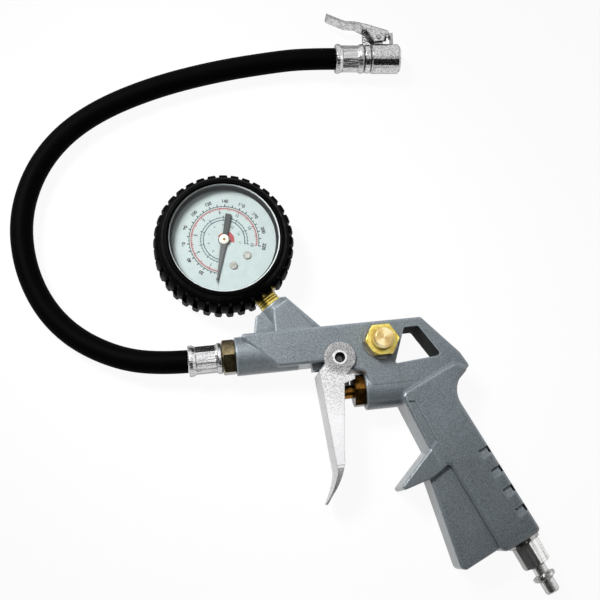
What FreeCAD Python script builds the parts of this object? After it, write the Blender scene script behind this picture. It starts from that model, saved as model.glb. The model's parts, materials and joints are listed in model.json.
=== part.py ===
import FreeCAD, Part
import math
import os

from FreeCAD import Placement, Rotation, Vector
import Sketcher

# An air-line tire inflator gun, lying on its side. X runs along the barrel away from the hose, Z points up
# from the surface, and the origin is on the gauge's axis at the back face of its rubber boot. Millimetres and
# degrees.

doc = FreeCAD.newDocument("tire_inflator")
sheet = doc.addObject("Spreadsheet::Sheet", "cells")
sheet.Label = "Sizes"


class Size:
    """A number together with the spreadsheet formula that gives it."""

    def __init__(self, value, formula):
        self.value = value
        self.formula = formula

    def __add__(self, other):
        other = sized(other)
        return Size(self.value + other.value, f"({self.formula} + {other.formula})")

    def __sub__(self, other):
        other = sized(other)
        return Size(self.value - other.value, f"({self.formula} - {other.formula})")

    def __mul__(self, other):
        other = sized(other)
        return Size(self.value * other.value, f"({self.formula} * {other.formula})")

    def __truediv__(self, other):
        other = sized(other)
        return Size(self.value / other.value, f"({self.formula} / {other.formula})")

    def __radd__(self, other):
        return sized(other) + self

    def __rsub__(self, other):
        return sized(other) - self

    def __rmul__(self, other):
        return sized(other) * self

    def __neg__(self):
        return sized(0) - self


def sized(number):
    if isinstance(number, Size):
        return number
    return Size(float(number), f"({float(number):.6f})")


def cosine(angle):
    return Size(math.cos(math.radians(angle.value)), f"cos({angle.formula})")


def sine(angle):
    return Size(math.sin(math.radians(angle.value)), f"sin({angle.formula})")


def cell(name, value):
    """Writes one driving dimension into the spreadsheet and gives it back as a Size."""
    place = f"A{len(cell_names) + 1}"
    cell_names.append(name)
    sheet.set(place, str(value))
    sheet.setAlias(place, name)
    return Size(float(value), f"cells.{name}")


cell_names = []

# Places of the axes. The gun rests on the side of its grip, so its middle is half the grip's width up
grip_half = cell("grip_half", 13.2)
mid_height = grip_half
barrel_y = cell("barrel_y", -64)
pivot_x = cell("pivot_x", 56.1)
pivot_drop = cell("pivot_drop", 8)
pivot_y = barrel_y - pivot_drop
valve_ahead = cell("valve_ahead", 12.9)
valve_face_x = pivot_x + valve_ahead
valve_drop = cell("valve_drop", 25.9)
valve_y = barrel_y - valve_drop
bleed_ahead = cell("bleed_ahead", 10.8)
bleed_x = valve_face_x + bleed_ahead
bleed_drop = cell("bleed_drop", 1.2)
bleed_y = barrel_y - bleed_drop
stem_angle = cell("stem_angle", -58)
grip_angle = cell("grip_angle", -66.5)
inlet_ahead = cell("inlet_ahead", 76.408)
inlet_x = valve_face_x + inlet_ahead
inlet_drop = cell("inlet_drop", 89.918)
inlet_y = valve_y - inlet_drop

# Cast body
slab_half = cell("slab_half", 11.3)
wedge_half = cell("wedge_half", 9.6)
web_half = cell("web_half", 9.4)
gusset_half = cell("gusset_half", 4.5)
nose_radius = cell("nose_radius", 10.8)
nose_length = cell("nose_length", 34)
boss_radius = cell("boss_radius", 8.3)
barrel_radius = cell("barrel_radius", 11.1)
lug_radius = cell("lug_radius", 8)
air_bore = cell("air_bore", 2.5)
riser_ahead = cell("riser_ahead", 12)
riser_x = valve_face_x + riser_ahead
riser_radius = cell("riser_radius", 2)
boss_bore_depth = cell("boss_bore_depth", 9)
notch_pitch = cell("notch_pitch", 12.1)
notch_length = cell("notch_length", 5)
notch_depth = cell("notch_depth", 1.9)
notch_dip = cell("notch_dip", 1.3)
thread_pitch = cell("thread_pitch", 1.5)
notch_width = cell("notch_width", 6.4)
notch_count = cell("notch_count", 4)
flute_depth = cell("flute_depth", 0.9)
slab_round = cell("slab_round", 1.6)
grip_round = cell("grip_round", 2.2)
guard_round = cell("guard_round", 1.1)
wedge_round = cell("wedge_round", 1.3)

# Fits
fit_gap = cell("fit_gap", 0.03)
slide_gap = cell("slide_gap", 0.06)
side_gap = cell("side_gap", 0.3)

# Hose and its ends
hose_radius = cell("hose_radius", 6.4)
barb_radius = cell("barb_radius", 3.6)
ferrule_radius = cell("ferrule_radius", 8.7)
waist_depth = cell("waist_depth", 0.8)
ferrule_waist = ferrule_radius - waist_depth
jaw_depth = cell("jaw_depth", 0.5)
chuck_ferrule_length = cell("chuck_ferrule_length", 16.6)
ferrule_length = cell("ferrule_length", 18.4)
hose_nut_flats = cell("hose_nut_flats", 18)
hose_nut_thick = cell("hose_nut_thick", 7.2)
nose_thread = cell("nose_thread", 6.5)
nose_thread_length = cell("nose_thread_length", 11)

# Chuck
chuck_x = cell("chuck_x", 77.8)
chuck_y = cell("chuck_y", 109.6)
chuck_height = cell("chuck_height", 9)
chuck_angle = cell("chuck_angle", -4.4)
chuck_radius = cell("chuck_radius", 8.8)
chuck_length = cell("chuck_length", 17.8)
chuck_neck = cell("chuck_neck", 4.2)
collar_radius = cell("collar_radius", 8.5)
mouth_radius = cell("mouth_radius", 4.15)
mouth_depth = cell("mouth_depth", 9)
mouth_straight = cell("mouth_straight", 4.4)
seal_radius = cell("seal_radius", 4.8)
spigot_radius = cell("spigot_radius", 4.8)
clip_stand = cell("clip_stand", 3.2)
clip_pin_radius = cell("clip_pin_radius", 1.2)
clip_width = cell("clip_width", 9.6)
clip_wall = cell("clip_wall", 1)

# Trigger and valve
pin_radius = cell("pin_radius", 3.3)
pin_hole = cell("pin_hole", 2.5)
pin_rim = cell("pin_rim", 4.1)
pin_core = cell("pin_core", 8.5)
trigger_wall = cell("trigger_wall", 1.2)
trigger_ring = cell("trigger_ring", 8.7)
gland_flats = cell("gland_flats", 16.6)
gland_thick = cell("gland_thick", 6.2)
gland_thread = cell("gland_thread", 7)
gland_thread_length = cell("gland_thread_length", 8)
stem_radius = cell("stem_radius", 3.8)
stem_behind = cell("stem_behind", 9.7)
stem_start_x = pivot_x - stem_behind
chamber_radius = cell("chamber_radius", 6.4)
chamber_length = cell("chamber_length", 41)
chamber_end_x = valve_face_x + chamber_length
seat_depth = cell("seat_depth", 20)
seat_x = valve_face_x + seat_depth
seat_thick = cell("seat_thick", 3)
poppet_radius = cell("poppet_radius", 4.8)
poppet_length = cell("poppet_length", 4.5)
spring_wire = cell("spring_wire", 0.5)

# Bleed valve
bleed_flats = cell("bleed_flats", 16.8)
bleed_hex_thick = cell("bleed_hex_thick", 6)
bleed_thread = cell("bleed_thread", 6)
bleed_thread_length = cell("bleed_thread_length", 8)
washer_thick = cell("washer_thick", 0.8)
washer_radius = cell("washer_radius", 9.9)
button_radius = cell("button_radius", 5.7)
button_rise = cell("button_rise", 5.6)

# Gauge, outwards from its case and upwards from the middle of the gun
case_radius = cell("case_radius", 32.4)
case_wall = cell("case_wall", 0.8)
boot_thick = cell("boot_thick", 4)
boot_radius = case_radius + boot_thick
boot_wall = cell("boot_wall", 2)
lug_height = cell("lug_height", 2.9)
lug_count = cell("lug_count", 36)
lip_over = cell("lip_over", 1.3)
lip_radius = case_radius + lip_over
window_step = cell("window_step", 1.8)
window_radius = case_radius - window_step
dial_clear = cell("dial_clear", 1.7)
dial_radius = window_radius - dial_clear
needle_clear = cell("needle_clear", 4.3)
needle_length = dial_radius - needle_clear
boss_gap = cell("boss_gap", 11.3)
boss_distance = case_radius + boss_gap
dial_rise = cell("dial_rise", 10.8)
dial_height = mid_height + dial_rise
dial_thick = cell("dial_thick", 0.6)
dial_depth = cell("dial_depth", 6.2)
case_front = dial_height + dial_depth
lip_thick = cell("lip_thick", 2)
boot_depth = case_front + lip_thick
lens_thick = cell("lens_thick", 1.5)
socket_flats = cell("socket_flats", 14.2)
socket_thread = cell("socket_thread", 6.3)
tube_clear = cell("tube_clear", 7.4)
bourdon_radius = case_radius - tube_clear
gear_module = cell("gear_module", 0.35)
pinion_teeth = cell("pinion_teeth", 10)
sector_ratio = cell("sector_ratio", 8)
arbor_radius = cell("arbor_radius", 0.6)
plate_thick = cell("plate_thick", 1)

# Inlet plug
plug_flats = cell("plug_flats", 14.2)
plug_nose = cell("plug_nose", 4)
inlet_washer_radius = cell("inlet_washer_radius", 9.3)
inlet_washer_thick = cell("inlet_washer_thick", 2.2)
inlet_thread = cell("inlet_thread", 6.4)
inlet_thread_length = cell("inlet_thread_length", 12)

Z_AXIS = Vector(0, 0, 1)
CUTS = []
PARTS = []


def bind(item, path, size):
    """Ties a property to the spreadsheet, or sets it when it is a plain number."""
    item.setExpression(path, sized(size).formula)


def aimed(angle):
    """The turn that lays a piece's own Z axis down in the X-Y plane at this angle from X."""
    return Rotation(Z_AXIS, angle).multiply(Rotation(Vector(0, 1, 0), 90))


def new_body(name, x=0, y=0, z=0, turn=None):
    body = doc.addObject("PartDesign::Body", name)
    body.Label = name
    place = [sized(value) for value in (x, y, z)]
    body.Placement = Placement(Vector(*[part.value for part in place]), turn or Rotation())
    for letter, value in zip("xyz", place):
        bind(body, f"Placement.Base.{letter}", value)
    PARTS.append(body)
    return body


def origin_item(body, role):
    for feature in body.Origin.OriginFeatures:
        if feature.Role == role:
            return feature
    raise ValueError(role)


def sketch_on(body, name, role="XY_Plane", offset=0):
    sketch = body.newObject("Sketcher::SketchObject", name)
    sketch.AttachmentSupport = [(origin_item(body, role), "")]
    sketch.MapMode = "FlatFace"
    sketch.AttachmentOffset = Placement(Vector(0, 0, sized(offset).value), Rotation())
    bind(sketch, "AttachmentOffset.Base.z", offset)
    return sketch


def sketch_across(body, name, x, y, angle):
    """A sketch at the point (x, y) whose normal lies in the X-Y plane at this angle from X."""
    sketch = sketch_on(body, name, "YZ_Plane", x)
    turn = Rotation(Vector(0, 1, 0), sized(angle).value)
    sketch.AttachmentOffset = Placement(Vector(sized(y).value, 0, sized(x).value), turn)
    bind(sketch, "AttachmentOffset.Base.x", y)
    bind(sketch, "AttachmentOffset.Rotation.Angle", angle)
    return sketch


def arc_between(start, end, radius):
    """The short arc between two points. A positive radius turns left on the way."""
    chord = end - start
    side = Vector(-chord.y, chord.x, 0).normalize()
    if radius < 0:
        side = -side
    half = chord.Length / 2
    centre = (start + end) / 2 + side * math.sqrt(max(radius * radius - half * half, 0))
    first, last = (start, end) if radius > 0 else (end, start)
    angles = [math.atan2(point.y - centre.y, point.x - centre.x) for point in (first, last)]
    return Part.ArcOfCircle(Part.Circle(centre, Z_AXIS, abs(radius)), *angles)


def outline(sketch, corners):
    """Draws a closed outline. A third number at a corner is the radius of the arc that ends there."""
    corners = [[sized(value) for value in corner] for corner in corners]
    spots = [Vector(corner[0].value, corner[1].value, 0) for corner in corners]
    edges = []
    for index, corner in enumerate(corners):
        before = spots[index - 1]
        if len(corner) == 3:
            edges.append(arc_between(before, spots[index], corner[2].value))
        else:
            edges.append(Part.LineSegment(before, spots[index]))
    first = sketch.GeometryCount
    sketch.addGeometry(edges, False)
    rules = []
    formulas = []
    for index, corner in enumerate(corners):
        edge = first + index
        following = first + (index + 1) % len(corners)
        clockwise = len(corner) == 3 and corner[2].value < 0
        next_corner = corners[(index + 1) % len(corners)]
        next_clockwise = len(next_corner) == 3 and next_corner[2].value < 0
        edge_end = 1 if clockwise else 2
        rules.append(Sketcher.Constraint("Coincident", edge, edge_end, following, 2 if next_clockwise else 1))
        for kind, size in (("DistanceX", corner[0]), ("DistanceY", corner[1])):
            formulas.append((len(rules), size))
            rules.append(Sketcher.Constraint(kind, -1, 1, edge, edge_end, size.value))
        if len(corner) == 3:
            radius = corner[2] if corner[2].value > 0 else -corner[2]
            formulas.append((len(rules), radius))
            rules.append(Sketcher.Constraint("Radius", edge, radius.value))
    start = sketch.ConstraintCount
    sketch.addConstraint(rules)
    for index, size in formulas:
        if "cells" in size.formula:
            bind(sketch, f"Constraints[{start + index}]", size)


def circle(sketch, x, y, radius):
    x, y, radius = sized(x), sized(y), sized(radius)
    geometry = sketch.addGeometry(Part.Circle(Vector(x.value, y.value, 0), Z_AXIS, radius.value), False)
    start = sketch.ConstraintCount
    sketch.addConstraint([
        Sketcher.Constraint("Radius", geometry, radius.value),
        Sketcher.Constraint("DistanceX", -1, 1, geometry, 3, x.value),
        Sketcher.Constraint("DistanceY", -1, 1, geometry, 3, y.value),
    ])
    for index, size in enumerate((radius, x, y)):
        if "cells" in size.formula:
            bind(sketch, f"Constraints[{start + index}]", size)


def hexagon(sketch, flats):
    """A hexagon about the sketch's origin with two corners on its X axis."""
    corner = flats / math.sqrt(3)
    half = flats / 2
    outline(sketch, [
        (corner, 0), (corner / 2, half), (-corner / 2, half),
        (-corner, 0), (-corner / 2, -half), (corner / 2, -half),
    ])


def pad(body, sketch, length, symmetric=False, reverse=False):
    feature = body.newObject("PartDesign::Pad", sketch.Name + "_pad")
    feature.Profile = sketch
    bind(feature, "Length", length)
    feature.SideType = "Symmetric" if symmetric else "One side"
    feature.Reversed = reverse
    return feature


def pocket(body, sketch, length=None, symmetric=False, reverse=False):
    """Cuts the sketch out of the body, to a depth or, without one, right through both ways."""
    feature = body.newObject("PartDesign::Pocket", sketch.Name + "_pocket")
    feature.Profile = sketch
    if length is None:
        feature.Type = "ThroughAll"
        feature.SideType = "Symmetric"
    else:
        bind(feature, "Length", length)
        feature.SideType = "Symmetric" if symmetric else "One side"
    feature.Reversed = reverse
    CUTS.append(feature)
    return feature


def revolve(body, name, corners):
    """Turns an outline of (radius, height) corners about the body's Z axis."""
    sketch = sketch_on(body, name, "XZ_Plane")
    outline(sketch, corners)
    feature = body.newObject("PartDesign::Revolution", name + "_turn")
    feature.Profile = sketch
    feature.ReferenceAxis = (origin_item(body, "Z_Axis"), [""])
    feature.Angle = 360
    return feature


def polar(body, feature, count, angle=360):
    pattern = body.newObject("PartDesign::PolarPattern", feature.Name + "_ring")
    pattern.Originals = [feature]
    pattern.Axis = (origin_item(body, "Z_Axis"), [""])
    bind(pattern, "Angle", angle)
    bind(pattern, "Occurrences", count)
    body.Tip = pattern
    return pattern


def coil(name, x, y, z, turn, radius, wire, length, turns):
    """A helical spring along its own Z axis, from wire / 2 above its base to the same below its end."""
    body = new_body(name, x, y, z, turn)
    sketch = sketch_on(body, name + "_wire", "XZ_Plane")
    circle(sketch, radius, wire / 2, wire / 2)
    helix = body.newObject("PartDesign::AdditiveHelix", name + "_helix")
    helix.Profile = sketch
    helix.ReferenceAxis = (origin_item(body, "Z_Axis"), [""])
    helix.Mode = "height-turns-angle"
    bind(helix, "Height", length - wire)
    bind(helix, "Turns", turns)
    return body


# The cast body is made of lumps with rounded edges, in a frame at the middle of the gun
slab_top = barrel_y + nose_radius - 0.2
slab_bottom = barrel_y - 9.3
neck = (51.8, -0.5)
back_top = (50.6, -13.3)
back_end = (83.5, -84.7)
lumps = []


def round_edges(body, feature, radius, pick):
    """Rounds those edges of a feature that pick(edge) chooses."""
    doc.recompute()
    names = [f"Edge{index + 1}" for index, edge in enumerate(feature.Shape.Edges) if pick(edge)]
    fillet = body.newObject("PartDesign::Fillet", feature.Name + "_round")
    fillet.Base = (feature, names)
    bind(fillet, "Radius", radius)
    body.Tip = fillet
    return fillet


def at_height(height):
    """Chooses the edges that lie at this height above or below the middle."""
    return lambda edge: all(abs(abs(vertex.Z) - height) < 0.001 for vertex in edge.Vertexes)


def from_valve(corners):
    """Corners that are given from the middle of the valve's face, as places of the gun."""
    return [(valve_face_x + x, valve_y + y, *radius) for x, y, *radius in corners]


def flat_lump(name, half, corners, radius=None):
    """A flat lump of the casting, half as thick each side of the middle, its outline edges rounded."""
    body = new_body(name)
    PARTS.remove(body)
    sketch = sketch_on(body, name + "_outline")
    outline(sketch, corners)
    feature = pad(body, sketch, half * 2, symmetric=True)
    if radius is not None:
        round_edges(body, feature, radius, at_height(half.value))
    lumps.append(body)


def round_lump(name, x, y, turn, radius, length, edge):
    """A round lump along its own axis, with its free end's edge rounded."""
    body = new_body(name, x, y, 0, turn)
    PARTS.remove(body)
    revolve(body, name + "_profile", [
        (0, 0), (radius - edge, 0), (radius, edge, edge), (radius, length), (0, length),
    ])
    lumps.append(body)


boss_x = boss_distance * cosine(stem_angle)
boss_y = boss_distance * sine(stem_angle)
boss_length = barrel_y / sine(stem_angle) - boss_distance - 6
flat_lump("slab", slab_half, [
    (1.5, slab_top), (22.6, slab_bottom), (pivot_x - lug_radius - 0.5, slab_bottom),
    (pivot_x + 6.4, valve_y + 10.9),
    *from_valve([(-0.1, 8.8), (0.6, 7.9), (2, 0), (43, 0), neck, (58.8, 6.7), (54.6, 14.5)]),
    (valve_face_x + 35.2, slab_top),
], slab_round)
round_lump("nose", 0, barrel_y, aimed(0), nose_radius, nose_length, 0.8)
flat_lump("pivot_lug", slab_half - 0.05, [
    (pivot_x - lug_radius, pivot_y), (pivot_x, pivot_y - lug_radius, lug_radius + 0.02),
    (pivot_x + lug_radius, pivot_y, lug_radius + 0.02), (pivot_x + lug_radius, pivot_y + 3),
    (pivot_x - lug_radius, pivot_y + 3),
])
flat_lump("trigger_stop", gusset_half, [
    (pivot_x - 14.6, slab_bottom - 3.2), (pivot_x - 9.6, slab_bottom - 3.2), (pivot_x - 6.1, slab_bottom + 1),
    (pivot_x - 14.6, slab_bottom + 1),
])
round_lump("gauge_boss", boss_x, boss_y, aimed(stem_angle.value), boss_radius, boss_length, 0.8)
flat_lump("boss_flank", web_half, [
    (boss_x - 0.657, boss_y - 3.44), (boss_x + 8.043, boss_y + 1.56), (44.5, slab_top - 1), (22.5, slab_top - 1),
], 1.2)
flat_lump("gussets", gusset_half, [
    (boss_x - 9.757, boss_y - 6.34), (boss_x - 5.757, boss_y - 4.14), (boss_x + 7.743, boss_y + 3.86),
    (50.3, slab_top - 0.5), (11.4, slab_top - 0.5),
], 0.8)
round_lump("valve_barrel", valve_face_x, valve_y, aimed(0), barrel_radius, chamber_length + 5, 0.8)

# The grip, with its finger guard and the thinner wedge in front of it
face_x = cosine(grip_angle + 90)
face_y = sine(grip_angle + 90)
flat_lump("grip", grip_half, from_valve([
    (19.9, -4.3), (49.9, 9.3), (58.5, 5.8), neck, (*back_top, 14), back_end,
    (inlet_ahead + face_x * 5.2, face_y * 5.2 - inlet_drop, -3.2),
    (inlet_ahead - face_x * 11.8, -inlet_drop - face_y * 11.8), (60.4, -92.9, -4), (39.6, -45.7),
    (34.2, -48.9), (19.4, -9.3), (18.4, -6.9),
]), grip_round)
flat_lump("finger_guard", grip_half - 0.3, from_valve([
    (43, -43.5), (29.2, -52.3), (14.2, -56.8), (12.2, -54.7, -1.8), (29.4, -37.5), (29.2, -34.7, 1.8), (37, -28.1),
]), guard_round)
flat_lump("front_wedge", wedge_half, from_valve([
    (27.6, -50.1), (38, -99.3), (41.8, -102.1, 3.4), (61.6, -93.1), (40, -44.6),
]), wedge_round)

shell = doc.addObject("Part::MultiFuse", "casting_lumps")
shell.Shapes = lumps
shell.Refine = True
doc.recompute()
casting = new_body("gun_casting", 0, 0, mid_height)
casting.BaseFeature = shell

# Openings, recesses and bores
window = sketch_on(casting, "window")
outline(window, from_valve([
    (25.4, 31.3), (32, 31.4), (33.4, 30.7, -2), (42.6, 15.7), (41.4, 13.7, -1.5), (18.6, 11.8), (17.8, 12.9, -1),
    (24.6, 30.5),
]))
pocket(casting, window)

flute = sketch_on(casting, "flute")
outline(flute, from_valve([(21.6, -9.7), (25.2, -10), (34.3, -32.9), (30.7, -35.7)]))
flute.AttachmentOffset = Placement(Vector(0, 0, (grip_half - flute_depth).value), Rotation())
bind(flute, "AttachmentOffset.Base.z", grip_half - flute_depth)
pocket(casting, flute, flute_depth + 1, reverse=True)

back_slope = math.degrees(math.atan2(back_end[1] - back_top[1], back_end[0] - back_top[0]))
along_back = Vector(math.cos(math.radians(back_slope)), math.sin(math.radians(back_slope)), 0)
for face, face_name in ((1, "near"), (-1, "far")):
    for index in range(int(notch_count.value)):
        notch_x = notch_pitch * (index * along_back.x) + valve_face_x + 61.7
        notch_y = notch_pitch * (index * along_back.y) + valve_y - 38
        notch = sketch_across(casting, f"notch_{index}_{face_name}", notch_x, notch_y, back_slope - 90)
        outline(notch, [
            (0, face * (grip_half + 1)), (notch_length, face * (grip_half + 1)),
            (notch_length, face * (grip_half - notch_depth * 0.4)), (0, face * (grip_half - notch_depth)),
        ][::face])
        pocket(casting, notch, notch_width, reverse=True)
        if face > 0:
            dip = sketch_across(casting, f"notch_{index}_dip", notch_x, notch_y, back_slope - 90)
            outline(dip, [
                (0, -grip_half - 1), (notch_length * 0.8, -grip_half - 1), (notch_length * 0.8, grip_half + 1),
                (0, grip_half + 1),
            ])
            pocket(casting, dip, notch_dip, reverse=True)

bore_list = [
    ("nose_bore", 0, barrel_y, 0, nose_thread + fit_gap, nose_thread_length + 1),
    ("main_bore", 5, barrel_y, 0, air_bore, bleed_x - 5),
    ("gland_bore", valve_face_x, valve_y, 0, gland_thread + fit_gap, gland_thread_length + 1),
    ("chamber", valve_face_x + 5, valve_y, 0, chamber_radius, chamber_end_x - valve_face_x - 5),
    ("riser", riser_x, valve_y, 90, riser_radius, barrel_y - valve_y),
    ("gauge_bore", boss_x, boss_y, stem_angle, socket_thread + fit_gap, boss_bore_depth),
    ("gauge_passage", boss_x, boss_y, stem_angle, riser_radius, 31.5),
    ("inlet_bore", inlet_x, inlet_y, grip_angle + 180, inlet_thread + fit_gap, inlet_thread_length + 3),
    ("inlet_passage", inlet_x, inlet_y, grip_angle + 180, air_bore + 1, 92),
]
for name, x, y, angle, radius, depth in bore_list:
    bore = sketch_across(casting, name, x, y, angle)
    circle(bore, 0, 0, radius)
    pocket(casting, bore, depth, reverse=True)

pin_bore = sketch_on(casting, "pin_bore")
circle(pin_bore, pivot_x, pivot_y, pin_radius + fit_gap)
pocket(casting, pin_bore)

bleed_bore = sketch_on(casting, "bleed_bore", offset=slab_half)
circle(bleed_bore, bleed_x, bleed_y, bleed_thread + fit_gap)
pocket(casting, bleed_bore, slab_half + air_bore + 1)


def hexagonal(body, name, flats, base, thick, chamfer_top=True, chamfer_base=False):
    """A hexagon from base to base + thick along the body's Z axis, its corners turned off at the free face."""
    sketch = sketch_on(body, name, offset=base)
    hexagon(sketch, flats)
    pad(body, sketch, thick)
    corner = flats / math.sqrt(3) + 0.2
    drop = (corner - flats / 2) * 0.55
    faces = []
    if chamfer_top:
        top = sized(base) + thick
        faces.append([
            (flats / 2, top + 0.1), (flats / 2, top), (corner, top - drop), (corner, top + 0.1),
        ])
    if chamfer_base:
        low = sized(base)
        faces.append([
            (flats / 2, low), (flats / 2, low - 0.1), (corner, low - 0.1), (corner, low + drop),
        ])
    for index, corners in enumerate(faces):
        sketch = sketch_on(body, f"{name}_edge{index}", "XZ_Plane")
        outline(sketch, corners)
        groove = body.newObject("PartDesign::Groove", f"{name}_groove{index}")
        groove.Profile = sketch
        groove.ReferenceAxis = (origin_item(body, "Z_Axis"), [""])
        groove.Angle = 360
        CUTS.append(groove)


def thread_rings(body, name, radius, first, count):
    """V-shaped rings round the body's Z axis, which stand for the turns of a thread."""
    sketch = sketch_on(body, name, "XZ_Plane")
    for index in range(count):
        low = first + thread_pitch * index
        outline(sketch, [
            (radius + 0.2, low), (radius + 0.2, low + thread_pitch * 0.8),
            (radius - 0.6, low + thread_pitch * 0.4),
        ])
    groove = body.newObject("PartDesign::Groove", name + "_groove")
    groove.Profile = sketch
    groove.ReferenceAxis = (origin_item(body, "Z_Axis"), [""])
    groove.Angle = 360
    CUTS.append(groove)


def drilled(body, name, radius, top, depth):
    """A round hole on the body's Z axis, from height top downwards."""
    sketch = sketch_on(body, name, offset=top)
    circle(sketch, 0, 0, radius)
    pocket(body, sketch, depth)


def crimped_ferrule(name, x, y, z, turn, length):
    """A crimped sleeve from its mouth at 0, flared at both ends, with a waist that the jaws left eight-sided."""
    body = new_body(name, x, y, z, turn)
    inner = barb_radius + fit_gap
    revolve(body, name + "_profile", [
        (inner, 0), (ferrule_radius - 0.5, 0), (ferrule_radius, 0.6), (ferrule_radius, 2.2), (ferrule_waist, 3.8),
        (ferrule_waist, length - 3), (ferrule_radius, length - 1.8), (ferrule_radius, length - 0.6),
        (ferrule_radius - 0.5, length), (inner, length),
    ])
    jaw = sketch_on(body, name + "_jaw", "XZ_Plane")
    outline(jaw, [
        (ferrule_waist - jaw_depth, 4.3), (ferrule_waist + 1, 3), (ferrule_waist + 1, length - 2.2),
        (ferrule_waist - jaw_depth, length - 3.5),
    ])
    polar(body, pocket(body, jaw, ferrule_waist, symmetric=True), 8)


# Trigger, in a frame at its pivot
flange_inner = slab_half + side_gap
flange_outer = flange_inner + trigger_wall
trigger = new_body("trigger", pivot_x, pivot_y, mid_height)
front_x = -12.1
front_low_x = -8.4
front_low_y = -61
blade = sketch_on(trigger, "trigger_side")
outline(blade, [
    (1.6, -10.5), (7, -9.4), (7, -12.6), (0.9, -14.4), (-3.4, -48.9), (-4.1, -56.4), (-11.7, -72.6, -40),
    (-14.9, -77.7), (-15.7, -77, -0.7), (front_low_x, front_low_y, 46), (front_x, -6.5), (-8.4, -2.3),
    (-8.4, 2.3, -trigger_ring), (8.4, 2.3, -trigger_ring), (7.4, -4.6, -trigger_ring),
])
pad(trigger, blade, flange_outer * 2, symmetric=True)
hollow = sketch_on(trigger, "trigger_hollow")
inner_x = front_x + trigger_wall
outline(hollow, [
    (9, 10), (inner_x, 10), (inner_x, -6.5), (front_low_x + trigger_wall - 0.3, -57), (1, -57), (3, -48), (9, -16),
])
pocket(trigger, hollow, flange_inner * 2, symmetric=True)
tip_trim = sketch_on(trigger, "trigger_tip_trim", "YZ_Plane")
tip_half = flange_outer + 3
outline(tip_trim, [
    (-58, -tip_half), (-58, 0.2 - flange_outer), (-77.6, -3.4, -24), (-77.6, 3.4, -5),
    (-58, flange_outer - 0.2, -24), (-58, tip_half), (-84, tip_half), (-84, -tip_half),
])
pocket(trigger, tip_trim, 60, symmetric=True)
ear = sketch_on(trigger, "trigger_front_gap")
outline(ear, [(-13.5, 10), (-7.5, 10), (-7.5, -6.5), (-13.5, -6.5)])
pocket(trigger, ear, flange_inner * 2, symmetric=True)
pin_way = sketch_on(trigger, "trigger_bore")
circle(pin_way, 0, 0, pin_radius + slide_gap)
pocket(trigger, pin_way)

pin = new_body("trigger_pin", pivot_x, pivot_y, mid_height)
rim_inner = flange_outer + slide_gap
rim_outer = rim_inner + 0.3
revolve(pin, "pin_profile", [
    (0, -pin_core), (pin_hole, -pin_core), (pin_hole, -rim_outer), (pin_rim, -rim_outer), (pin_rim, -rim_inner),
    (pin_radius, -rim_inner), (pin_radius, rim_inner), (pin_rim, rim_inner), (pin_rim, rim_outer),
    (pin_hole, rim_outer), (pin_hole, pin_core), (0, pin_core),
])

# Valve, along the valve axis
gland = new_body("valve_gland_nut", valve_face_x, valve_y, mid_height, aimed(0))
hexagonal(gland, "gland_hex", gland_flats, -gland_thick, gland_thick, chamfer_top=False, chamfer_base=True)
thread = sketch_on(gland, "gland_thread")
circle(thread, 0, 0, gland_thread)
pad(gland, thread, gland_thread_length)
drilled(gland, "gland_way", stem_radius + slide_gap, gland_thread_length, gland_thread_length + gland_thick)

seal = new_body("valve_gland_seal", valve_face_x, valve_y, mid_height, aimed(0))
revolve(seal, "gland_seal_profile", [
    (stem_radius + slide_gap, gland_thread_length + fit_gap), (gland_thread - 0.1, gland_thread_length + fit_gap),
    (gland_thread - 0.1, gland_thread_length + 0.95), (stem_radius + slide_gap, gland_thread_length + 0.95),
])

rod_radius = 2
rod_end = seat_x + seat_thick + poppet_length - stem_start_x
shoulder = rod_end - poppet_length - seat_thick - 8
stem = new_body("valve_stem", stem_start_x, valve_y, mid_height, aimed(0))
revolve(stem, "stem_profile", [
    (0, 0), (2, 0), (stem_radius, 1.8), (stem_radius, shoulder), (rod_radius, shoulder + 1), (rod_radius, rod_end),
    (0, rod_end),
])

seat = new_body("valve_seat", seat_x, valve_y, mid_height, aimed(0))
revolve(seat, "seat_profile", [
    (3, 0), (chamber_radius - fit_gap, 0), (chamber_radius - fit_gap, seat_thick - 0.6), (3.6, seat_thick),
    (3, seat_thick),
])

poppet = new_body("valve_poppet", seat_x + seat_thick + 0.05, valve_y, mid_height, aimed(0))
revolve(poppet, "poppet_profile", [
    (rod_radius + fit_gap, 0), (poppet_radius, 0), (poppet_radius, 1.6), (poppet_radius - 1, 1.6),
    (poppet_radius - 1.8, poppet_length - 0.1), (rod_radius + fit_gap, poppet_length - 0.1),
])

spring_x = seat_x + seat_thick + 0.05 + 1.65
coil("valve_spring", spring_x, valve_y, mid_height, aimed(0), poppet_radius - 0.35, spring_wire,
     chamber_end_x - spring_x, 6)

# Bleed valve, in a frame on its washer
bleed_washer = new_body("bleed_washer", bleed_x, bleed_y, mid_height + slab_half)
revolve(bleed_washer, "bleed_washer_profile", [
    (bleed_thread + fit_gap, 0), (washer_radius, 0), (washer_radius, washer_thick),
    (bleed_thread + fit_gap, washer_thick),
])
bleed_base = mid_height + slab_half + washer_thick
well_floor = -5
cap_base = bleed_hex_thick - 1.8
bleed = new_body("bleed_valve_body", bleed_x, bleed_y, bleed_base)
hexagonal(bleed, "bleed_hex", bleed_flats, 0, bleed_hex_thick)
bleed_shank = sketch_on(bleed, "bleed_thread_round")
circle(bleed_shank, 0, 0, bleed_thread)
pad(bleed, bleed_shank, bleed_thread_length + washer_thick, reverse=True)
drilled(bleed, "button_guide", button_radius + slide_gap, bleed_hex_thick, 5)
drilled(bleed, "spring_well", button_radius - 0.8, 1, 1 - well_floor)
drilled(bleed, "bleed_way", 2.1, 1, 12)

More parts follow.
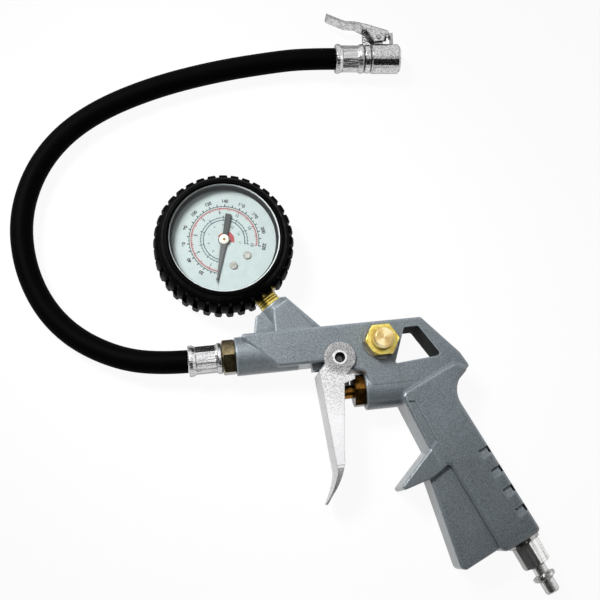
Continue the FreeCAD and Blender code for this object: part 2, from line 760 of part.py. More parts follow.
bleed_stem = 1.6
bleed_end = -bleed_thread_length - washer_thick
button = new_body("bleed_button", bleed_x, bleed_y, bleed_base)
cap_top = bleed_hex_thick + button_rise
revolve(button, "button_profile", [
    (0, bleed_end - 1.4), (3.6, bleed_end - 1.4), (3.6, bleed_end - 0.75), (bleed_stem, bleed_end - 0.75),
    (bleed_stem, cap_base), (button_radius, cap_base), (button_radius, cap_top - 1), (button_radius - 1, cap_top),
    (0, cap_top),
])
bleed_seal = new_body("bleed_seal", bleed_x, bleed_y, bleed_base)
revolve(bleed_seal, "bleed_seal_profile", [
    (bleed_stem + fit_gap, bleed_end - 0.75 + fit_gap), (3.6, bleed_end - 0.75 + fit_gap), (3.6, bleed_end - 0.05),
    (bleed_stem + fit_gap, bleed_end - 0.05),
])
coil("bleed_spring", bleed_x, bleed_y, bleed_base + well_floor, None, 3.6, spring_wire, cap_base - well_floor, 5)

# Gauge, about the origin
lip_under = case_front + 0.8
boot = new_body("gauge_boot")
boot_inner = case_radius + fit_gap
tread_top = boot_depth - 7.2
tread_split = 12.6
revolve(boot, "boot_profile", [
    (0, 0), (boot_radius - 2, 0), (boot_radius, 2, 2), (boot_radius, tread_top), (lip_radius + 1.2, tread_top + 2),
    (lip_radius, boot_depth - 1.6), (lip_radius - 1.6, boot_depth, 1.6), (window_radius + 1.2, boot_depth),
    (window_radius, boot_depth - 1.2, 1.2), (window_radius + 0.2, lip_under), (boot_inner, lip_under),
    (boot_inner, boot_wall), (0, boot_wall),
])
for row, (row_base, row_top) in enumerate((
        (2.4, tread_split - 0.4), (tread_split + 0.4, tread_top - 1.4))):
    lug = sketch_on(boot, f"tread_lug_{row}", offset=row_base)
    turn = math.radians(180 / lug_count.value * row)
    top_radius = boot_radius + lug_height
    corners = [(boot_radius - 0.5, -2.7), (top_radius - 0.7, -1.9), (top_radius, -1.1), (top_radius, 1.5),
               (top_radius - 0.9, 2.1), (boot_radius - 0.5, 2.6)]
    outline(lug, [(x * math.cos(turn) - y * math.sin(turn), x * math.sin(turn) + y * math.cos(turn))
                  for x, y in corners])
    polar(boot, pad(boot, lug, row_top - row_base), lug_count)
crown = sketch_on(boot, "tread_crown", "XZ_Plane")
outline(crown, [
    (boot_radius + 1.3, tread_top), (boot_radius + lug_height - 0.2, tread_top - 5),
    (boot_radius + lug_height + 0.5, tread_top - 13), (boot_radius + lug_height + 2, tread_top - 13),
    (boot_radius + lug_height + 2, tread_top),
])
crown_cut = boot.newObject("PartDesign::Groove", "tread_crown_cut")
crown_cut.Profile = crown
crown_cut.ReferenceAxis = (origin_item(boot, "Z_Axis"), [""])
crown_cut.Angle = 360
CUTS.append(crown_cut)
boot.Tip = crown_cut
square_half = socket_flats / 2 + side_gap
socket_start = case_radius - 2.4
socket_way = sketch_across(
    boot, "socket_way", socket_start * cosine(stem_angle), socket_start * sine(stem_angle), stem_angle)
outline(socket_way, [
    (-square_half, mid_height - square_half), (square_half, mid_height - square_half),
    (square_half, mid_height + square_half), (-square_half, mid_height + square_half),
])
socket_cut = pocket(boot, socket_way, 14, reverse=True)
boot.Tip = socket_cut

case = new_body("gauge_case", 0, 0, boot_wall)
case_height = case_front - boot_wall
ledge = case_height - lens_thick
revolve(case, "case_profile", [
    (0, 0), (case_radius - 2, 0), (case_radius, 2, 2), (case_radius, case_height),
    (case_radius - case_wall, case_height), (case_radius - case_wall, ledge), (case_radius - case_wall * 2, ledge),
    (case_radius - case_wall * 2, case_wall), (0, case_wall),
])
neck_radius = 7.2
neck_start = case_radius - 6.4
case_way = sketch_across(
    case, "case_way", neck_start * cosine(stem_angle), neck_start * sine(stem_angle), stem_angle)
circle(case_way, 0, mid_height - boot_wall, neck_radius + fit_gap)
pocket(case, case_way, 10, reverse=True)

lens = new_body("gauge_lens", 0, 0, boot_wall + ledge)
lens_radius = case_radius - case_wall - fit_gap
revolve(lens, "lens_profile", [(0, 0), (lens_radius, 0), (lens_radius, lens_thick), (0, lens_thick)])
bezel = new_body("gauge_bezel", 0, 0, case_front)
revolve(bezel, "bezel_profile", [
    (window_radius - 0.6, 0), (case_radius, 0), (case_radius, 0.75), (window_radius - 0.2, 0.75),
])

screw_x = 14.65
screw_y = 4.76
screw_spots = [(screw_x, -screw_y), (screw_x, screw_y)]
stem_turn = Rotation(Z_AXIS, stem_angle.value)
dial = new_body("dial_plate", 0, 0, dial_height, stem_turn)
disc = sketch_on(dial, "dial_disc")
circle(disc, 0, 0, dial_radius)
circle(disc, 0, 0, arbor_radius + 0.6)
for x, y in screw_spots:
    circle(disc, x, y, 0.95)
pad(dial, disc, dial_thick)

block_base = -9.2
block_top = 1.4
socket = new_body("gauge_socket", 0, 0, mid_height, aimed(stem_angle.value))
block_start = 13
block_half = 6
block = sketch_on(socket, "socket_block", offset=block_start)
outline(block, [
    (-block_top, -block_half), (-block_base, -block_half), (-block_base, block_half), (-block_top, block_half),
])
pad(socket, block, case_radius - 2.8 - block_start)
socket_neck = sketch_on(socket, "socket_neck", offset=case_radius - 3.4)
circle(socket_neck, 0, 0, neck_radius)
pad(socket, socket_neck, 4.5)
flats = sketch_on(socket, "socket_flats", offset=case_radius + 0.8)
outline(flats, [
    (-socket_flats / 2, -socket_flats / 2), (socket_flats / 2, -socket_flats / 2),
    (socket_flats / 2, socket_flats / 2), (-socket_flats / 2, socket_flats / 2),
])
pad(socket, flats, 4.8)
pipe = sketch_on(socket, "socket_thread", offset=case_radius)
circle(pipe, 0, 0, socket_thread)
pad(socket, pipe, boss_distance + boss_bore_depth - 0.4 - case_radius)
thread_rings(socket, "socket_rings", socket_thread, case_radius + 5.7, 3)
drilled(socket, "socket_bore", 2, 60, 42)

tube_half = 1.5
tube_straight = 2.5
tube_height = mid_height - 3
tube_start = stem_angle.value + 15.5
tube_sweep = 249
bourdon = new_body("bourdon_tube", 0, 0, tube_height, Rotation(Z_AXIS, tube_start))
oval = sketch_on(bourdon, "tube_section", "XZ_Plane")
outline(oval, [
    (bourdon_radius - tube_half, -tube_straight), (bourdon_radius + tube_half, -tube_straight, tube_half + 0.03),
    (bourdon_radius + tube_half, tube_straight), (bourdon_radius - tube_half, tube_straight, tube_half + 0.03),
])
bend = bourdon.newObject("PartDesign::Revolution", "tube_bend")
bend.Profile = oval
bend.ReferenceAxis = (origin_item(bourdon, "Z_Axis"), [""])
bend.Angle = tube_sweep

# Movement: tube tip, link, sector and pinion between two plates
frame_base = mid_height + block_top
frame_gap = 4
sector_distance = gear_module * (pinion_teeth + pinion_teeth * sector_ratio) / 2
sector_side = 150
sector_x = sector_distance * math.cos(math.radians(sector_side))
sector_y = sector_distance * math.sin(math.radians(sector_side))
tail_x, tail_y = -4.76, 2.08
tip_turn = math.radians(tube_start + tube_sweep + 5)
tip_pin_x = bourdon_radius * math.cos(tip_turn)
tip_pin_y = bourdon_radius * math.sin(tip_turn)
link_z = frame_base + plate_thick + 0.3

tube_tip = new_body("tube_tip", 0, 0, 0, Rotation(Z_AXIS, tube_start + tube_sweep))
tip_block = sketch_on(tube_tip, "tip_block", offset=tube_height - 3)
outline(tip_block, [
    (bourdon_radius - 1.8, 0.1), (bourdon_radius + 1.8, 0.1), (bourdon_radius + 1.8, 4.2),
    (bourdon_radius - 1.8, 4.2),
])
pad(tube_tip, tip_block, link_z - tube_height + 3 - 0.05)
peg = sketch_on(tube_tip, "tip_pin", offset=link_z - 1)
circle(peg, bourdon_radius * math.cos(math.radians(5)), bourdon_radius * math.sin(math.radians(5)), arbor_radius)
pad(tube_tip, peg, 1.9)

link_away = Vector(tip_pin_x.value - sector_x.value - tail_x, tip_pin_y.value - sector_y.value - tail_y, 0)
link_turn = math.degrees(math.atan2(link_away.y, link_away.x))
link = new_body("link", sector_x + tail_x, sector_y + tail_y, link_z, Rotation(Z_AXIS, link_turn))
bar = sketch_on(link, "link_bar")
outline(bar, [
    (0, -1.5, 1.54), (link_away.Length, -1.3), (link_away.Length, 1.3, 1.34), (0, 1.5),
])
circle(bar, 0, 0, arbor_radius + side_gap)
circle(bar, link_away.Length, 0, arbor_radius + slide_gap)
pad(link, bar, 0.7)

movement = new_body("movement_frame", 0, 0, frame_base, stem_turn)
local_side = math.radians(sector_side - stem_angle.value)
pivot_u = sector_distance * math.cos(local_side)
pivot_v = sector_distance * math.sin(local_side)
pillars = screw_spots + [(-6.8, 7.8)]
for name, base in (("bottom_plate", 0), ("top_plate", plate_thick + frame_gap)):
    plate = sketch_on(movement, name, offset=base)
    outline(plate, [
        (17.5, -7.2), (17.5, 7.2), (-2, 9.4), (-10.5, 9.4), (-16.8, -4.6), (-16.8, -10.4), (-9, -10.4),
        (4, -7.2),
    ])
    circle(plate, 0, 0, arbor_radius + slide_gap)
    circle(plate, pivot_u, pivot_v, arbor_radius + slide_gap)
    pad(movement, plate, plate_thick)
    if base == 0:
        posts = sketch_on(movement, "pillars")
        for x, y in pillars:
            circle(posts, x, y, 1.5)
        pad(movement, posts, plate_thick * 2 + frame_gap)
dial_posts = sketch_on(movement, "dial_posts", offset=plate_thick)
for x, y in screw_spots:
    circle(dial_posts, x, y, 1.7)
pad(movement, dial_posts, dial_height - frame_base - plate_thick)
screw_ways = sketch_on(movement, "screw_ways", offset=dial_height - frame_base)
for x, y in screw_spots:
    circle(screw_ways, x, y, 0.93)
pocket(movement, screw_ways, 3)


def toothed(body, name, root, base, thick, count, angle, first, half_widths):
    """Adds a ring of teeth whose first tooth points at the angle first, from the root circle outwards."""
    root_half, pitch_half, tip_half = half_widths
    rows = [
        (root - 0.15, root_half), (root + 1.25 * gear_module, pitch_half), (root + 2.25 * gear_module, tip_half),
    ]
    corners = [(x, -half) for x, half in rows] + [(x, half) for x, half in rows[::-1]]
    turn = math.radians(first)
    tooth = sketch_on(body, name, offset=base)
    outline(tooth, [(x * math.cos(turn) - half * math.sin(turn), x * math.sin(turn) + half * math.cos(turn))
                    for x, half in corners])
    polar(body, pad(body, tooth, thick), count, angle)


gear_z = plate_thick + 1.7
sector = new_body("sector_gear", sector_x, sector_y, frame_base)
sector_root = gear_module * pinion_teeth * sector_ratio / 2 - 1.25 * gear_module
inward = sector_side + 180
tooth_step = 360 / (pinion_teeth.value * sector_ratio.value)
low = math.radians(inward - 9.5 * tooth_step)
high = math.radians(inward + 2.5 * tooth_step)
fan = sketch_on(sector, "sector_fan", offset=gear_z)
outline(fan, [
    (sector_root * math.cos(low), sector_root * math.sin(low)),
    (sector_root * math.cos(high), sector_root * math.sin(high), sector_root),
    (-1.2, 1.8), (tail_x, tail_y + 1.3), (tail_x, tail_y - 1.3, 1.34), (-1.2, -1.8),
])
pad(sector, fan, 1)
axle = sketch_on(sector, "sector_axle", offset=slide_gap)
circle(axle, 0, 0, arbor_radius)
pad(sector, axle, plate_thick * 2 + frame_gap - slide_gap)
tail_pin = sketch_on(sector, "tail_pin", offset=plate_thick + 0.3)
circle(tail_pin, tail_x, tail_y, arbor_radius)
pad(sector, tail_pin, gear_z - plate_thick - 0.1)
toothed(sector, "sector_tooth", sector_root, gear_z, 1, 12, 11 * tooth_step, inward - 9 * tooth_step,
        (0.32, 0.22, 0.1))

pinion_root = gear_module * pinion_teeth / 2 - 1.25 * gear_module
pinion = new_body("pinion", 0, 0, frame_base)
hub = sketch_on(pinion, "pinion_hub", offset=gear_z - 0.3)
circle(hub, 0, 0, pinion_root)
pad(pinion, hub, 1.6)
arbor = sketch_on(pinion, "pinion_arbor", offset=slide_gap)
circle(arbor, 0, 0, arbor_radius)
needle_height = dial_height + dial_thick + 1
pad(pinion, arbor, needle_height + 1.4 - frame_base)
toothed(pinion, "pinion_tooth", pinion_root, gear_z - 0.3, 1.6, pinion_teeth, 360,
        sector_side + 180 / pinion_teeth.value, (0.25, 0.2, 0.09))

hairspring = new_body("hairspring", 0, 0, frame_base + plate_thick + frame_gap - 1)
strip = sketch_on(hairspring, "hairspring_strip")
half_strip = 0.08
turns = [(-1) ** index * (1.55 + 0.35 * index) for index in range(9)]
outer_side = [(turns[0] + half_strip, 0)]
inner_side = [(turns[0] - half_strip, 0, -1)]
for near, far in zip(turns, turns[1:]):
    radius = (abs(near) + abs(far)) / 2
    outer_side.append((far + math.copysign(half_strip, far), 0, radius + half_strip + 0.02))
    inner_side.append((far - math.copysign(half_strip, far), 0, -(radius - half_strip + 0.02)))
backward = [(inner_side[-1][0], 0)]
for index in range(len(turns) - 2, -1, -1):
    backward.append((inner_side[index][0], 0, inner_side[index + 1][2]))
outline(strip, outer_side + backward)
pad(hairspring, strip, 0.6)

needle_angle = cell("needle_angle", -105)
needle = new_body("needle", 0, 0, needle_height, Rotation(Z_AXIS, needle_angle.value))
pointer = sketch_on(needle, "needle_outline")
outline(pointer, [
    (-15, -1.6), (-3, -1.3), (0, -1.7), (needle_length, -0.2), (needle_length, 0.2), (0, 1.7), (-3, 1.3),
    (-15, 1.6),
])
circle(pointer, 0, 0, arbor_radius + fit_gap)
pad(needle, pointer, 0.4)
hub_cap = new_body("needle_hub", 0, 0, needle_height + 0.4)
revolve(hub_cap, "hub_profile", [
    (arbor_radius + fit_gap, 0), (2.7, 0), (2.7, 0.5), (2.1, 0.9), (arbor_radius + fit_gap, 0.9),
])

screws = new_body("dial_screws", 0, 0, dial_height, Rotation(Z_AXIS, stem_angle.value + 18))
screws.AllowCompound = True
reach = math.hypot(screw_x, screw_y)
shank = sketch_on(screws, "screw_shank", offset=dial_thick)
circle(shank, reach, 0, 0.9)
shank_pad = pad(screws, shank, 3, reverse=True)
head = sketch_on(screws, "screw_head", offset=dial_thick)
circle(head, reach, 0, 2.1)
head_pad = pad(screws, head, 0.7)
pair = screws.newObject("PartDesign::PolarPattern", "screw_pair")
pair.Originals = [shank_pad, head_pad]
pair.Axis = (origin_item(screws, "Z_Axis"), [""])
pair.Angle = 36
pair.Occurrences = 2
pair.Reversed = True
screws.Tip = pair

# Hose with its fittings and ferrules
gun_fitting = new_body("hose_fitting_gun", 0, barrel_y, mid_height, aimed(0))
hexagonal(gun_fitting, "hose_nut", hose_nut_flats, -hose_nut_thick, hose_nut_thick - 0.1, True, True)
nose_shank = sketch_on(gun_fitting, "nose_shank")
circle(nose_shank, 0, 0, nose_thread)
pad(gun_fitting, nose_shank, nose_thread_length)
collar = sketch_on(gun_fitting, "nut_collar", offset=-0.3)
circle(collar, 0, 0, nose_thread)
pad(gun_fitting, collar, 0.4)
barb = sketch_on(gun_fitting, "gun_barb", offset=-hose_nut_thick)
circle(barb, 0, 0, barb_radius)
pad(gun_fitting, barb, ferrule_length, reverse=True)
drilled(gun_fitting, "gun_fitting_bore", air_bore, nose_thread_length, 50)

mouth_x = -hose_nut_thick - 0.3 - ferrule_length
crimped_ferrule("ferrule_gun", mouth_x, barrel_y, mid_height, aimed(0), ferrule_length)

hose_gap = 0.3
route = [
    (mouth_x.value - hose_gap, barrel_y.value, mid_height.value), (-44, -63.4, 12.7), (-66, -57.2, 10.6),
    (-88, -43.2, 8), (-103.2, -23.8, 6.7), (-111.6, 1, 6.5), (-112.2, 28, 6.5), (-103, 54, 6.5), (-86, 75, 6.5),
    (-62, 90, 6.5), (-30, 101, 6.5), (6, 108, 6.5), (42, 111.2, 7), (60, 111, 8.7),
    (chuck_x.value - hose_gap, chuck_y.value, chuck_height.value),
]


def route_wire(corners):
    """Straight runs joined by tangent arcs, each as large as 0.45 of the shorter run beside it allows."""
    spots = [Vector(*corner) for corner in corners]
    edges = []
    radii = []
    last = spots[0]
    for before, spot, after in zip(spots, spots[1:], spots[2:]):
        back = (before - spot).normalize()
        ahead = (after - spot).normalize()
        half_turn = (math.pi - back.getAngle(ahead)) / 2
        reach = 0.45 * min((before - spot).Length, (after - spot).Length)
        radius = reach / math.tan(half_turn)
        radii.append(radius)
        start = spot + back * reach
        end = spot + ahead * reach
        middle = spot + (back + ahead).normalize() * (radius / math.cos(half_turn) - radius)
        edges.append(Part.LineSegment(last, start).toShape())
        edges.append(Part.Arc(start, middle, end).toShape())
        last = end
    edges.append(Part.LineSegment(last, spots[-1]).toShape())
    return Part.Wire(edges), radii


hose_path, hose_radii = route_wire(route)
hose_start = (Vector(*route[1]) - Vector(*route[0])).normalize()
hose_ring = Part.Wire([Part.Circle(Vector(*route[0]), hose_start, hose_radius.value).toShape()])
hose = doc.addObject("Part::Feature", "hose")
hose.Label = "hose"
hose.Shape = hose_path.makePipeShell([hose_ring], True, False)
PARTS.append(hose)
print("hose radii", [round(radius, 1) for radius in hose_radii], "length", round(hose_path.Length, 1))
hose_volume = math.pi * hose_radius.value ** 2 * hose_path.Length
if abs(hose.Shape.Volume / hose_volume - 1) > 0.01:
    raise ValueError("the hose's volume isn't its section times its length")

# Clip-on chuck, along its own axis from the ferrule's mouth
chuck_turn = aimed(chuck_angle.value)
chuck_place = (chuck_x, chuck_y, chuck_height, chuck_turn)
crimped_ferrule("ferrule_chuck", *chuck_place, chuck_ferrule_length)
body_start = chuck_ferrule_length + chuck_neck
body_end = body_start + chuck_length
chuck_fitting = new_body("hose_fitting_chuck", *chuck_place)
revolve(chuck_fitting, "chuck_fitting_profile", [
    (2, 0.4), (barb_radius - 0.6, 0.4), (barb_radius, 1.4), (barb_radius, chuck_ferrule_length),
    (spigot_radius + 0.4, chuck_ferrule_length + 0.1), (spigot_radius + 0.4, chuck_ferrule_length + 0.7),
    (collar_radius - 0.4, chuck_ferrule_length + 0.7), (collar_radius, chuck_ferrule_length + 1.1),
    (collar_radius, body_start - 0.5), (collar_radius - 0.4, body_start - 0.1), (spigot_radius, body_start - 0.1),
    (spigot_radius, body_start + 5), (2, body_start + 5),
])
ear_half = clip_width / 2 - clip_wall - 0.3
clip_u = body_start + 5.4
clip_v = chuck_radius + clip_stand
chuck = new_body("chuck_body", *chuck_place)
revolve(chuck, "chuck_profile", [
    (spigot_radius + fit_gap, body_start + 0.1), (chuck_radius - 1, body_start + 0.1),
    (chuck_radius, body_start + 1.1),
    (chuck_radius, body_end - 1.2), (chuck_radius - 1.2, body_end), (mouth_radius, body_end),
    (mouth_radius, body_end - mouth_straight), (seal_radius, body_end - mouth_straight - 0.6),
    (seal_radius, body_end - mouth_depth), (2, body_end - mouth_depth), (2, body_start + 5.1),
    (spigot_radius + fit_gap, body_start + 5.1),
])
ear = sketch_on(chuck, "clip_ear", "YZ_Plane")
outline(ear, [
    (chuck_radius - 2.4, clip_u - 2.6), (chuck_radius - 2.4, clip_u + 2.6), (clip_v, clip_u + 2.2),
    (clip_v, clip_u - 2.2, -2.25),
])
pad(chuck, ear, ear_half * 2, symmetric=True)
ear_bore = sketch_on(chuck, "ear_bore", "YZ_Plane")
circle(ear_bore, clip_v, clip_u, clip_pin_radius + fit_gap)
pocket(chuck, ear_bore)
slot = sketch_on(chuck, "jaw_slot", "YZ_Plane")
outline(slot, [(3, clip_u + 7.2), (3, clip_u + 11.2), (11, clip_u + 11.2), (11, clip_u + 7.2)])
pocket(chuck, slot, 5.4, symmetric=True)

chuck_seal = new_body("chuck_seal", *chuck_place)
seat_end = body_end - mouth_depth
revolve(chuck_seal, "chuck_seal_profile", [
    (2, seat_end), (seal_radius - fit_gap, seat_end), (seal_radius - fit_gap, seat_end + 1.8), (2, seat_end + 1.8),
])
depressor = new_body("chuck_depressor", *chuck_place)
revolve(depressor, "depressor_profile", [
    (0, seat_end - 3), (1.97, seat_end - 3), (1.97, seat_end - 0.4), (0.9, seat_end), (0.9, seat_end + 3.8),
    (0, seat_end + 3.8),
])

clip_pin = new_body("clip_pin", *chuck_place)
pin_round = sketch_on(clip_pin, "clip_pin_round", "YZ_Plane")
circle(pin_round, clip_v, clip_u, clip_pin_radius)
pad(clip_pin, pin_round, clip_width + 0.8, symmetric=True)

lever = new_body("clip_lever", *chuck_place)
lever_side = sketch_on(lever, "lever_side", "YZ_Plane")
lever_outline = [
    (14.9, -30.8), (10.2, -19.8), (9.9, -13.6), (8.3, -6.8), (4.4, 5.4), (3.9, 9, -4.4), (-7.5, 9),
    (-7.5, 7.8), (1.6, 7.6), (1.4, 4.2), (-2.3, 3.1), (-2.8, -2.4), (4.8, -7), (8.6, -13.5), (8.9, -19.8),
    (13.5, -30),
]
outline(lever_side, [(clip_v + v, clip_u + u, *radius) for v, u, *radius in lever_outline])
pad(lever, lever_side, clip_width, symmetric=True)
lever_hollow = sketch_on(lever, "lever_hollow", "YZ_Plane")
outline(lever_hollow, [(clip_v + v, clip_u + u) for v, u in [
    (-8.5, 7), (2.6, 7), (3.3, 5), (7, -6.4), (7.6, -9), (-8.5, -9),
]])
pocket(lever, lever_hollow, clip_width - clip_wall * 2, symmetric=True)
jaw_half = 2.5
for name, flip in (("jaw_side_near", 1), ("jaw_side_far", -1)):
    trim = sketch_on(lever, name, "XZ_Plane")
    outline(trim, [
        (flip * jaw_half, clip_u + 6.2), (flip * (clip_width / 2 + 1), clip_u + 6.2),
        (flip * (clip_width / 2 + 1), clip_u + 14), (flip * jaw_half, clip_u + 14),
    ][::flip])
    pocket(lever, trim, 24)
lever_way = sketch_on(lever, "lever_bore", "YZ_Plane")
circle(lever_way, clip_v, clip_u, clip_pin_radius + slide_gap)
pocket(lever, lever_way)

spring_turn = Rotation(Z_AXIS, chuck_angle.value).multiply(Rotation(Vector(1, 0, 0), -90))
spring_u = clip_u - 7.2
spring_base = Rotation(Z_AXIS, chuck_angle.value).multVec(
    Vector(spring_u.value, chuck_radius.value + 0.1, 0))
coil("clip_spring", chuck_x + spring_base.x, chuck_y + spring_base.y, chuck_height, spring_turn, 1.9, spring_wire,
     8.6, 5)

# Inlet plug in the grip
plug_turn = aimed(grip_angle.value)
inlet_washer = new_body("inlet_washer", inlet_x, inlet_y, mid_height, plug_turn)
revolve(inlet_washer, "inlet_washer_profile", [
    (inlet_thread + fit_gap, 0), (inlet_washer_radius, 0), (inlet_washer_radius, inlet_washer_thick),
    (inlet_thread + fit_gap, inlet_washer_thick),
])
plug_hex_length = 13.4
hex_end = inlet_washer_thick + plug_hex_length
plug_bore = 2.4
plug = new_body("inlet_plug", inlet_x, inlet_y, mid_height, plug_turn)
revolve(plug, "plug_profile", [
    (plug_bore, -inlet_thread_length), (inlet_thread, -inlet_thread_length),
    (inlet_thread, inlet_washer_thick + 1), (inlet_thread, hex_end), (plug_nose - 0.2, hex_end + 1),
    (plug_nose - 0.2, hex_end + 5.4), (plug_nose + 2.3, hex_end + 6.4), (plug_nose + 2.3, hex_end + 8),
    (plug_nose, hex_end + 9.4), (plug_nose, hex_end + 16), (plug_nose - 0.7, hex_end + 16.8),
    (plug_bore, hex_end + 16.8),
])
hexagonal(plug, "plug_hex", plug_flats, inlet_washer_thick, plug_hex_length, True, True)
drilled(plug, "plug_bore", plug_bore, hex_end + 17, hex_end + inlet_thread_length + 18)

strainer_end = -inlet_thread_length - 0.1
strainer = new_body("inlet_strainer", inlet_x, inlet_y, mid_height, plug_turn)
revolve(strainer, "strainer_profile", [
    (0, strainer_end - 2.5), (inlet_thread - 1.8, strainer_end - 2.5), (inlet_thread - 0.6, strainer_end),
    (inlet_thread - 1.2, strainer_end), (inlet_thread - 2.3, strainer_end - 2), (0, strainer_end - 2),
])

doc.recompute()
for item in doc.Objects:
    if "Invalid" in item.State or "Error" in item.State:
        raise ValueError(f"{item.Name} can't be worked out: {item.State}")
for cut in CUTS:
    if cut.Shape.isNull() or cut.BaseFeature.Shape.Volume - cut.Shape.Volume < 0.001:
        raise ValueError(f"{cut.Name} cuts nothing")
os.makedirs("parts", exist_ok=True)
for piece in PARTS:
    if piece.Shape.isNull() or not piece.Shape.isValid() or not piece.Shape.Solids:
        raise ValueError(f"{piece.Label} is not a valid solid")
    piece.Shape.exportStep(f"parts/{piece.Label}.step")
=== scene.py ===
import math

import bmesh
import bpy
from bpy.props import FloatProperty, FloatVectorProperty, PointerProperty
from mathutils import Euler, Matrix, Vector
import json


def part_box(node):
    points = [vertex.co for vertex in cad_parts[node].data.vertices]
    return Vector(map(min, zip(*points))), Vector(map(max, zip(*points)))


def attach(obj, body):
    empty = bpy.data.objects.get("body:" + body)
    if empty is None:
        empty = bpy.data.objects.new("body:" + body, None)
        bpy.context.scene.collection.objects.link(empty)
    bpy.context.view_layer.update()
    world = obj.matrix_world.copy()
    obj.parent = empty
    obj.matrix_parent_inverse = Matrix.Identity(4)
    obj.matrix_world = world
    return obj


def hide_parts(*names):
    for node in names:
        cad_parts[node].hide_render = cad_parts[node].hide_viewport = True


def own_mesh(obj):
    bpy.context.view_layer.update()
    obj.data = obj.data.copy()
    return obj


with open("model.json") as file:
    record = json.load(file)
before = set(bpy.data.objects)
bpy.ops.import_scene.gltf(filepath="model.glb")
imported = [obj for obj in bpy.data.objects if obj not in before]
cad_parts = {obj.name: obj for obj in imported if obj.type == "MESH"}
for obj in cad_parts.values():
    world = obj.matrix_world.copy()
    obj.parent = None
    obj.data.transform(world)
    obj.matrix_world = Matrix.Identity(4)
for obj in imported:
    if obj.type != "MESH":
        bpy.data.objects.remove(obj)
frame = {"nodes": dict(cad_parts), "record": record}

bl_info = {
    "name": "Tire Inflator Gun",
    "version": (1, 0, 0),
    "blender": (4, 5, 0),
    "location": "View3D > Sidebar > Inflator",
    "description": "Dresses the packed tire inflator gun with its finishes, hose, dial print and stage",
    "category": "Object",
}

MM = 0.001
NODES = frame["nodes"]


def in_plane(angle):
    """A direction in the X-Y plane, this many degrees from X."""
    return Vector((math.cos(math.radians(angle)), math.sin(math.radians(angle)), 0))


# Heights and places on the solids, in metres
DIAL_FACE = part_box("dial_plate")[1][2]
RIM_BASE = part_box("gauge_bezel")[0][2]
HUB_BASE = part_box("needle_hub")[0][2]
LEVER_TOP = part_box("trigger")[1][2]
PIVOT = (0.0561, -0.072)
CASE_WALL = 31.2 * MM
ARBOR_RADIUS = 0.9 * MM
TAIL_START = 3 * MM
LEVER_FOLD = 0.9 * MM
LEVER_FOLD_END = -0.128
WELL_RADIUS = 2.9 * MM
CORE_RADIUS = 1.6 * MM

# The sides of the window lie in this box, on the side of a slanted line where X + Y * LEAN < END; they are
# painted near black as their shade
WINDOW_LOW = (0.086, -0.079, 0.002)
WINDOW_HIGH = (0.1125, -0.0575, 0.0244)
WINDOW_LEAN = 0.613
WINDOW_END = 0.0681

# The way from the gun's body down its grip to the plug, in degrees from X
GRIP_ANGLE = -66.5

# The needle's direction at rest and the sweep of every scale on the dial, in degrees
NEEDLE_REST = -105
SCALE_SWEEP = 270

# How far the rings and the scales of the print stand off the dial
RING_LIFT = 0.03 * MM
SCALE_LIFT = 0.04 * MM

# The printed scales, their sizes in millimetres: the ticks stand outside a band whose side is 1
OUTER_SCALE = {
    "band": 19.3, "band_width": 0.4, "side": 1, "ticks": 44, "every": 2, "long": 1.3, "short": 0.7,
    "full": 220, "numbers": range(0, 221, 20), "number_radius": 22.4, "number_size": 2.6,
}
RED_SCALE = {
    "band": 18.3, "band_width": 0.45, "side": -1, "ticks": 75, "every": 5, "long": 1.2, "short": 0.9,
}
MIDDLE_SCALE = {
    "band": 12.9, "band_width": 0.4, "side": 1, "ticks": 32, "every": 4, "long": 1.0, "short": 0.6,
    "full": 15, "numbers": range(1, 16, 2), "number_radius": 15.7, "number_size": 2.2,
}
INNER_SCALE = {
    "band": 11.4, "band_width": 0.4, "side": 1, "ticks": 64, "every": 8, "long": 0.9, "short": 0.5,
    "full": 16, "numbers": range(2, 17, 2), "number_radius": 8.7, "number_size": 1.9,
}
LONG_TICK_WIDTH = 0.6 * MM
SHORT_TICK_WIDTH = 0.36 * MM

# Where the camera stands, in millimetres, and how it is turned about X, Y and Z, in degrees
CAMERA_SPOT = (-30.37, -160.07, 614.91)
CAMERA_TURN = (12.308, -5.227, -6.619)

# Each coil spring with its joint, the way from its held end to its moving end, and that end's travel
SPRINGS = [
    ("valve_spring", "valve_slide", (-1, 0, 0), 3.75 * MM),
    ("bleed_spring", "bleed_press", (0, 0, 1), 3.0 * MM),
    ("clip_spring", "clip_lever_press", (0.0767, 0.9971, 0), 3.0 * MM),
]

# The route of the hose from the gun's ferrule to the chuck's, in millimetres
HOSE_ROUTE = [
    (-26.2, -64, 13.2), (-44, -63.4, 12.7), (-66, -57.2, 10.6), (-88, -43.2, 8), (-103.2, -23.8, 6.7),
    (-111.6, 1, 6.5), (-112.2, 28, 6.5), (-103, 54, 6.5), (-86, 75, 6.5), (-62, 90, 6.5), (-30, 101, 6.5),
    (6, 108, 6.5), (42, 111.2, 7), (60, 111, 8.7), (77.5, 109.6, 9),
]


class Signal:
    """One output of a shader node, so that shader maths is written as plain expressions."""

    def __init__(self, finish, socket):
        self.finish = finish
        self.socket = socket

    def _math(self, operation, first, second):
        return self.finish.add("ShaderNodeMath", {"operation": operation}, {0: first, 1: second})

    def __add__(self, other):
        return self._math("ADD", self, other)

    def __radd__(self, other):
        return self._math("ADD", other, self)

    def __sub__(self, other):
        return self._math("SUBTRACT", self, other)

    def __rsub__(self, other):
        return self._math("SUBTRACT", other, self)

    def __mul__(self, other):
        return self._math("MULTIPLY", self, other)

    def __gt__(self, other):
        return self._math("GREATER_THAN", self, other)

    def __lt__(self, other):
        return self._math("LESS_THAN", self, other)


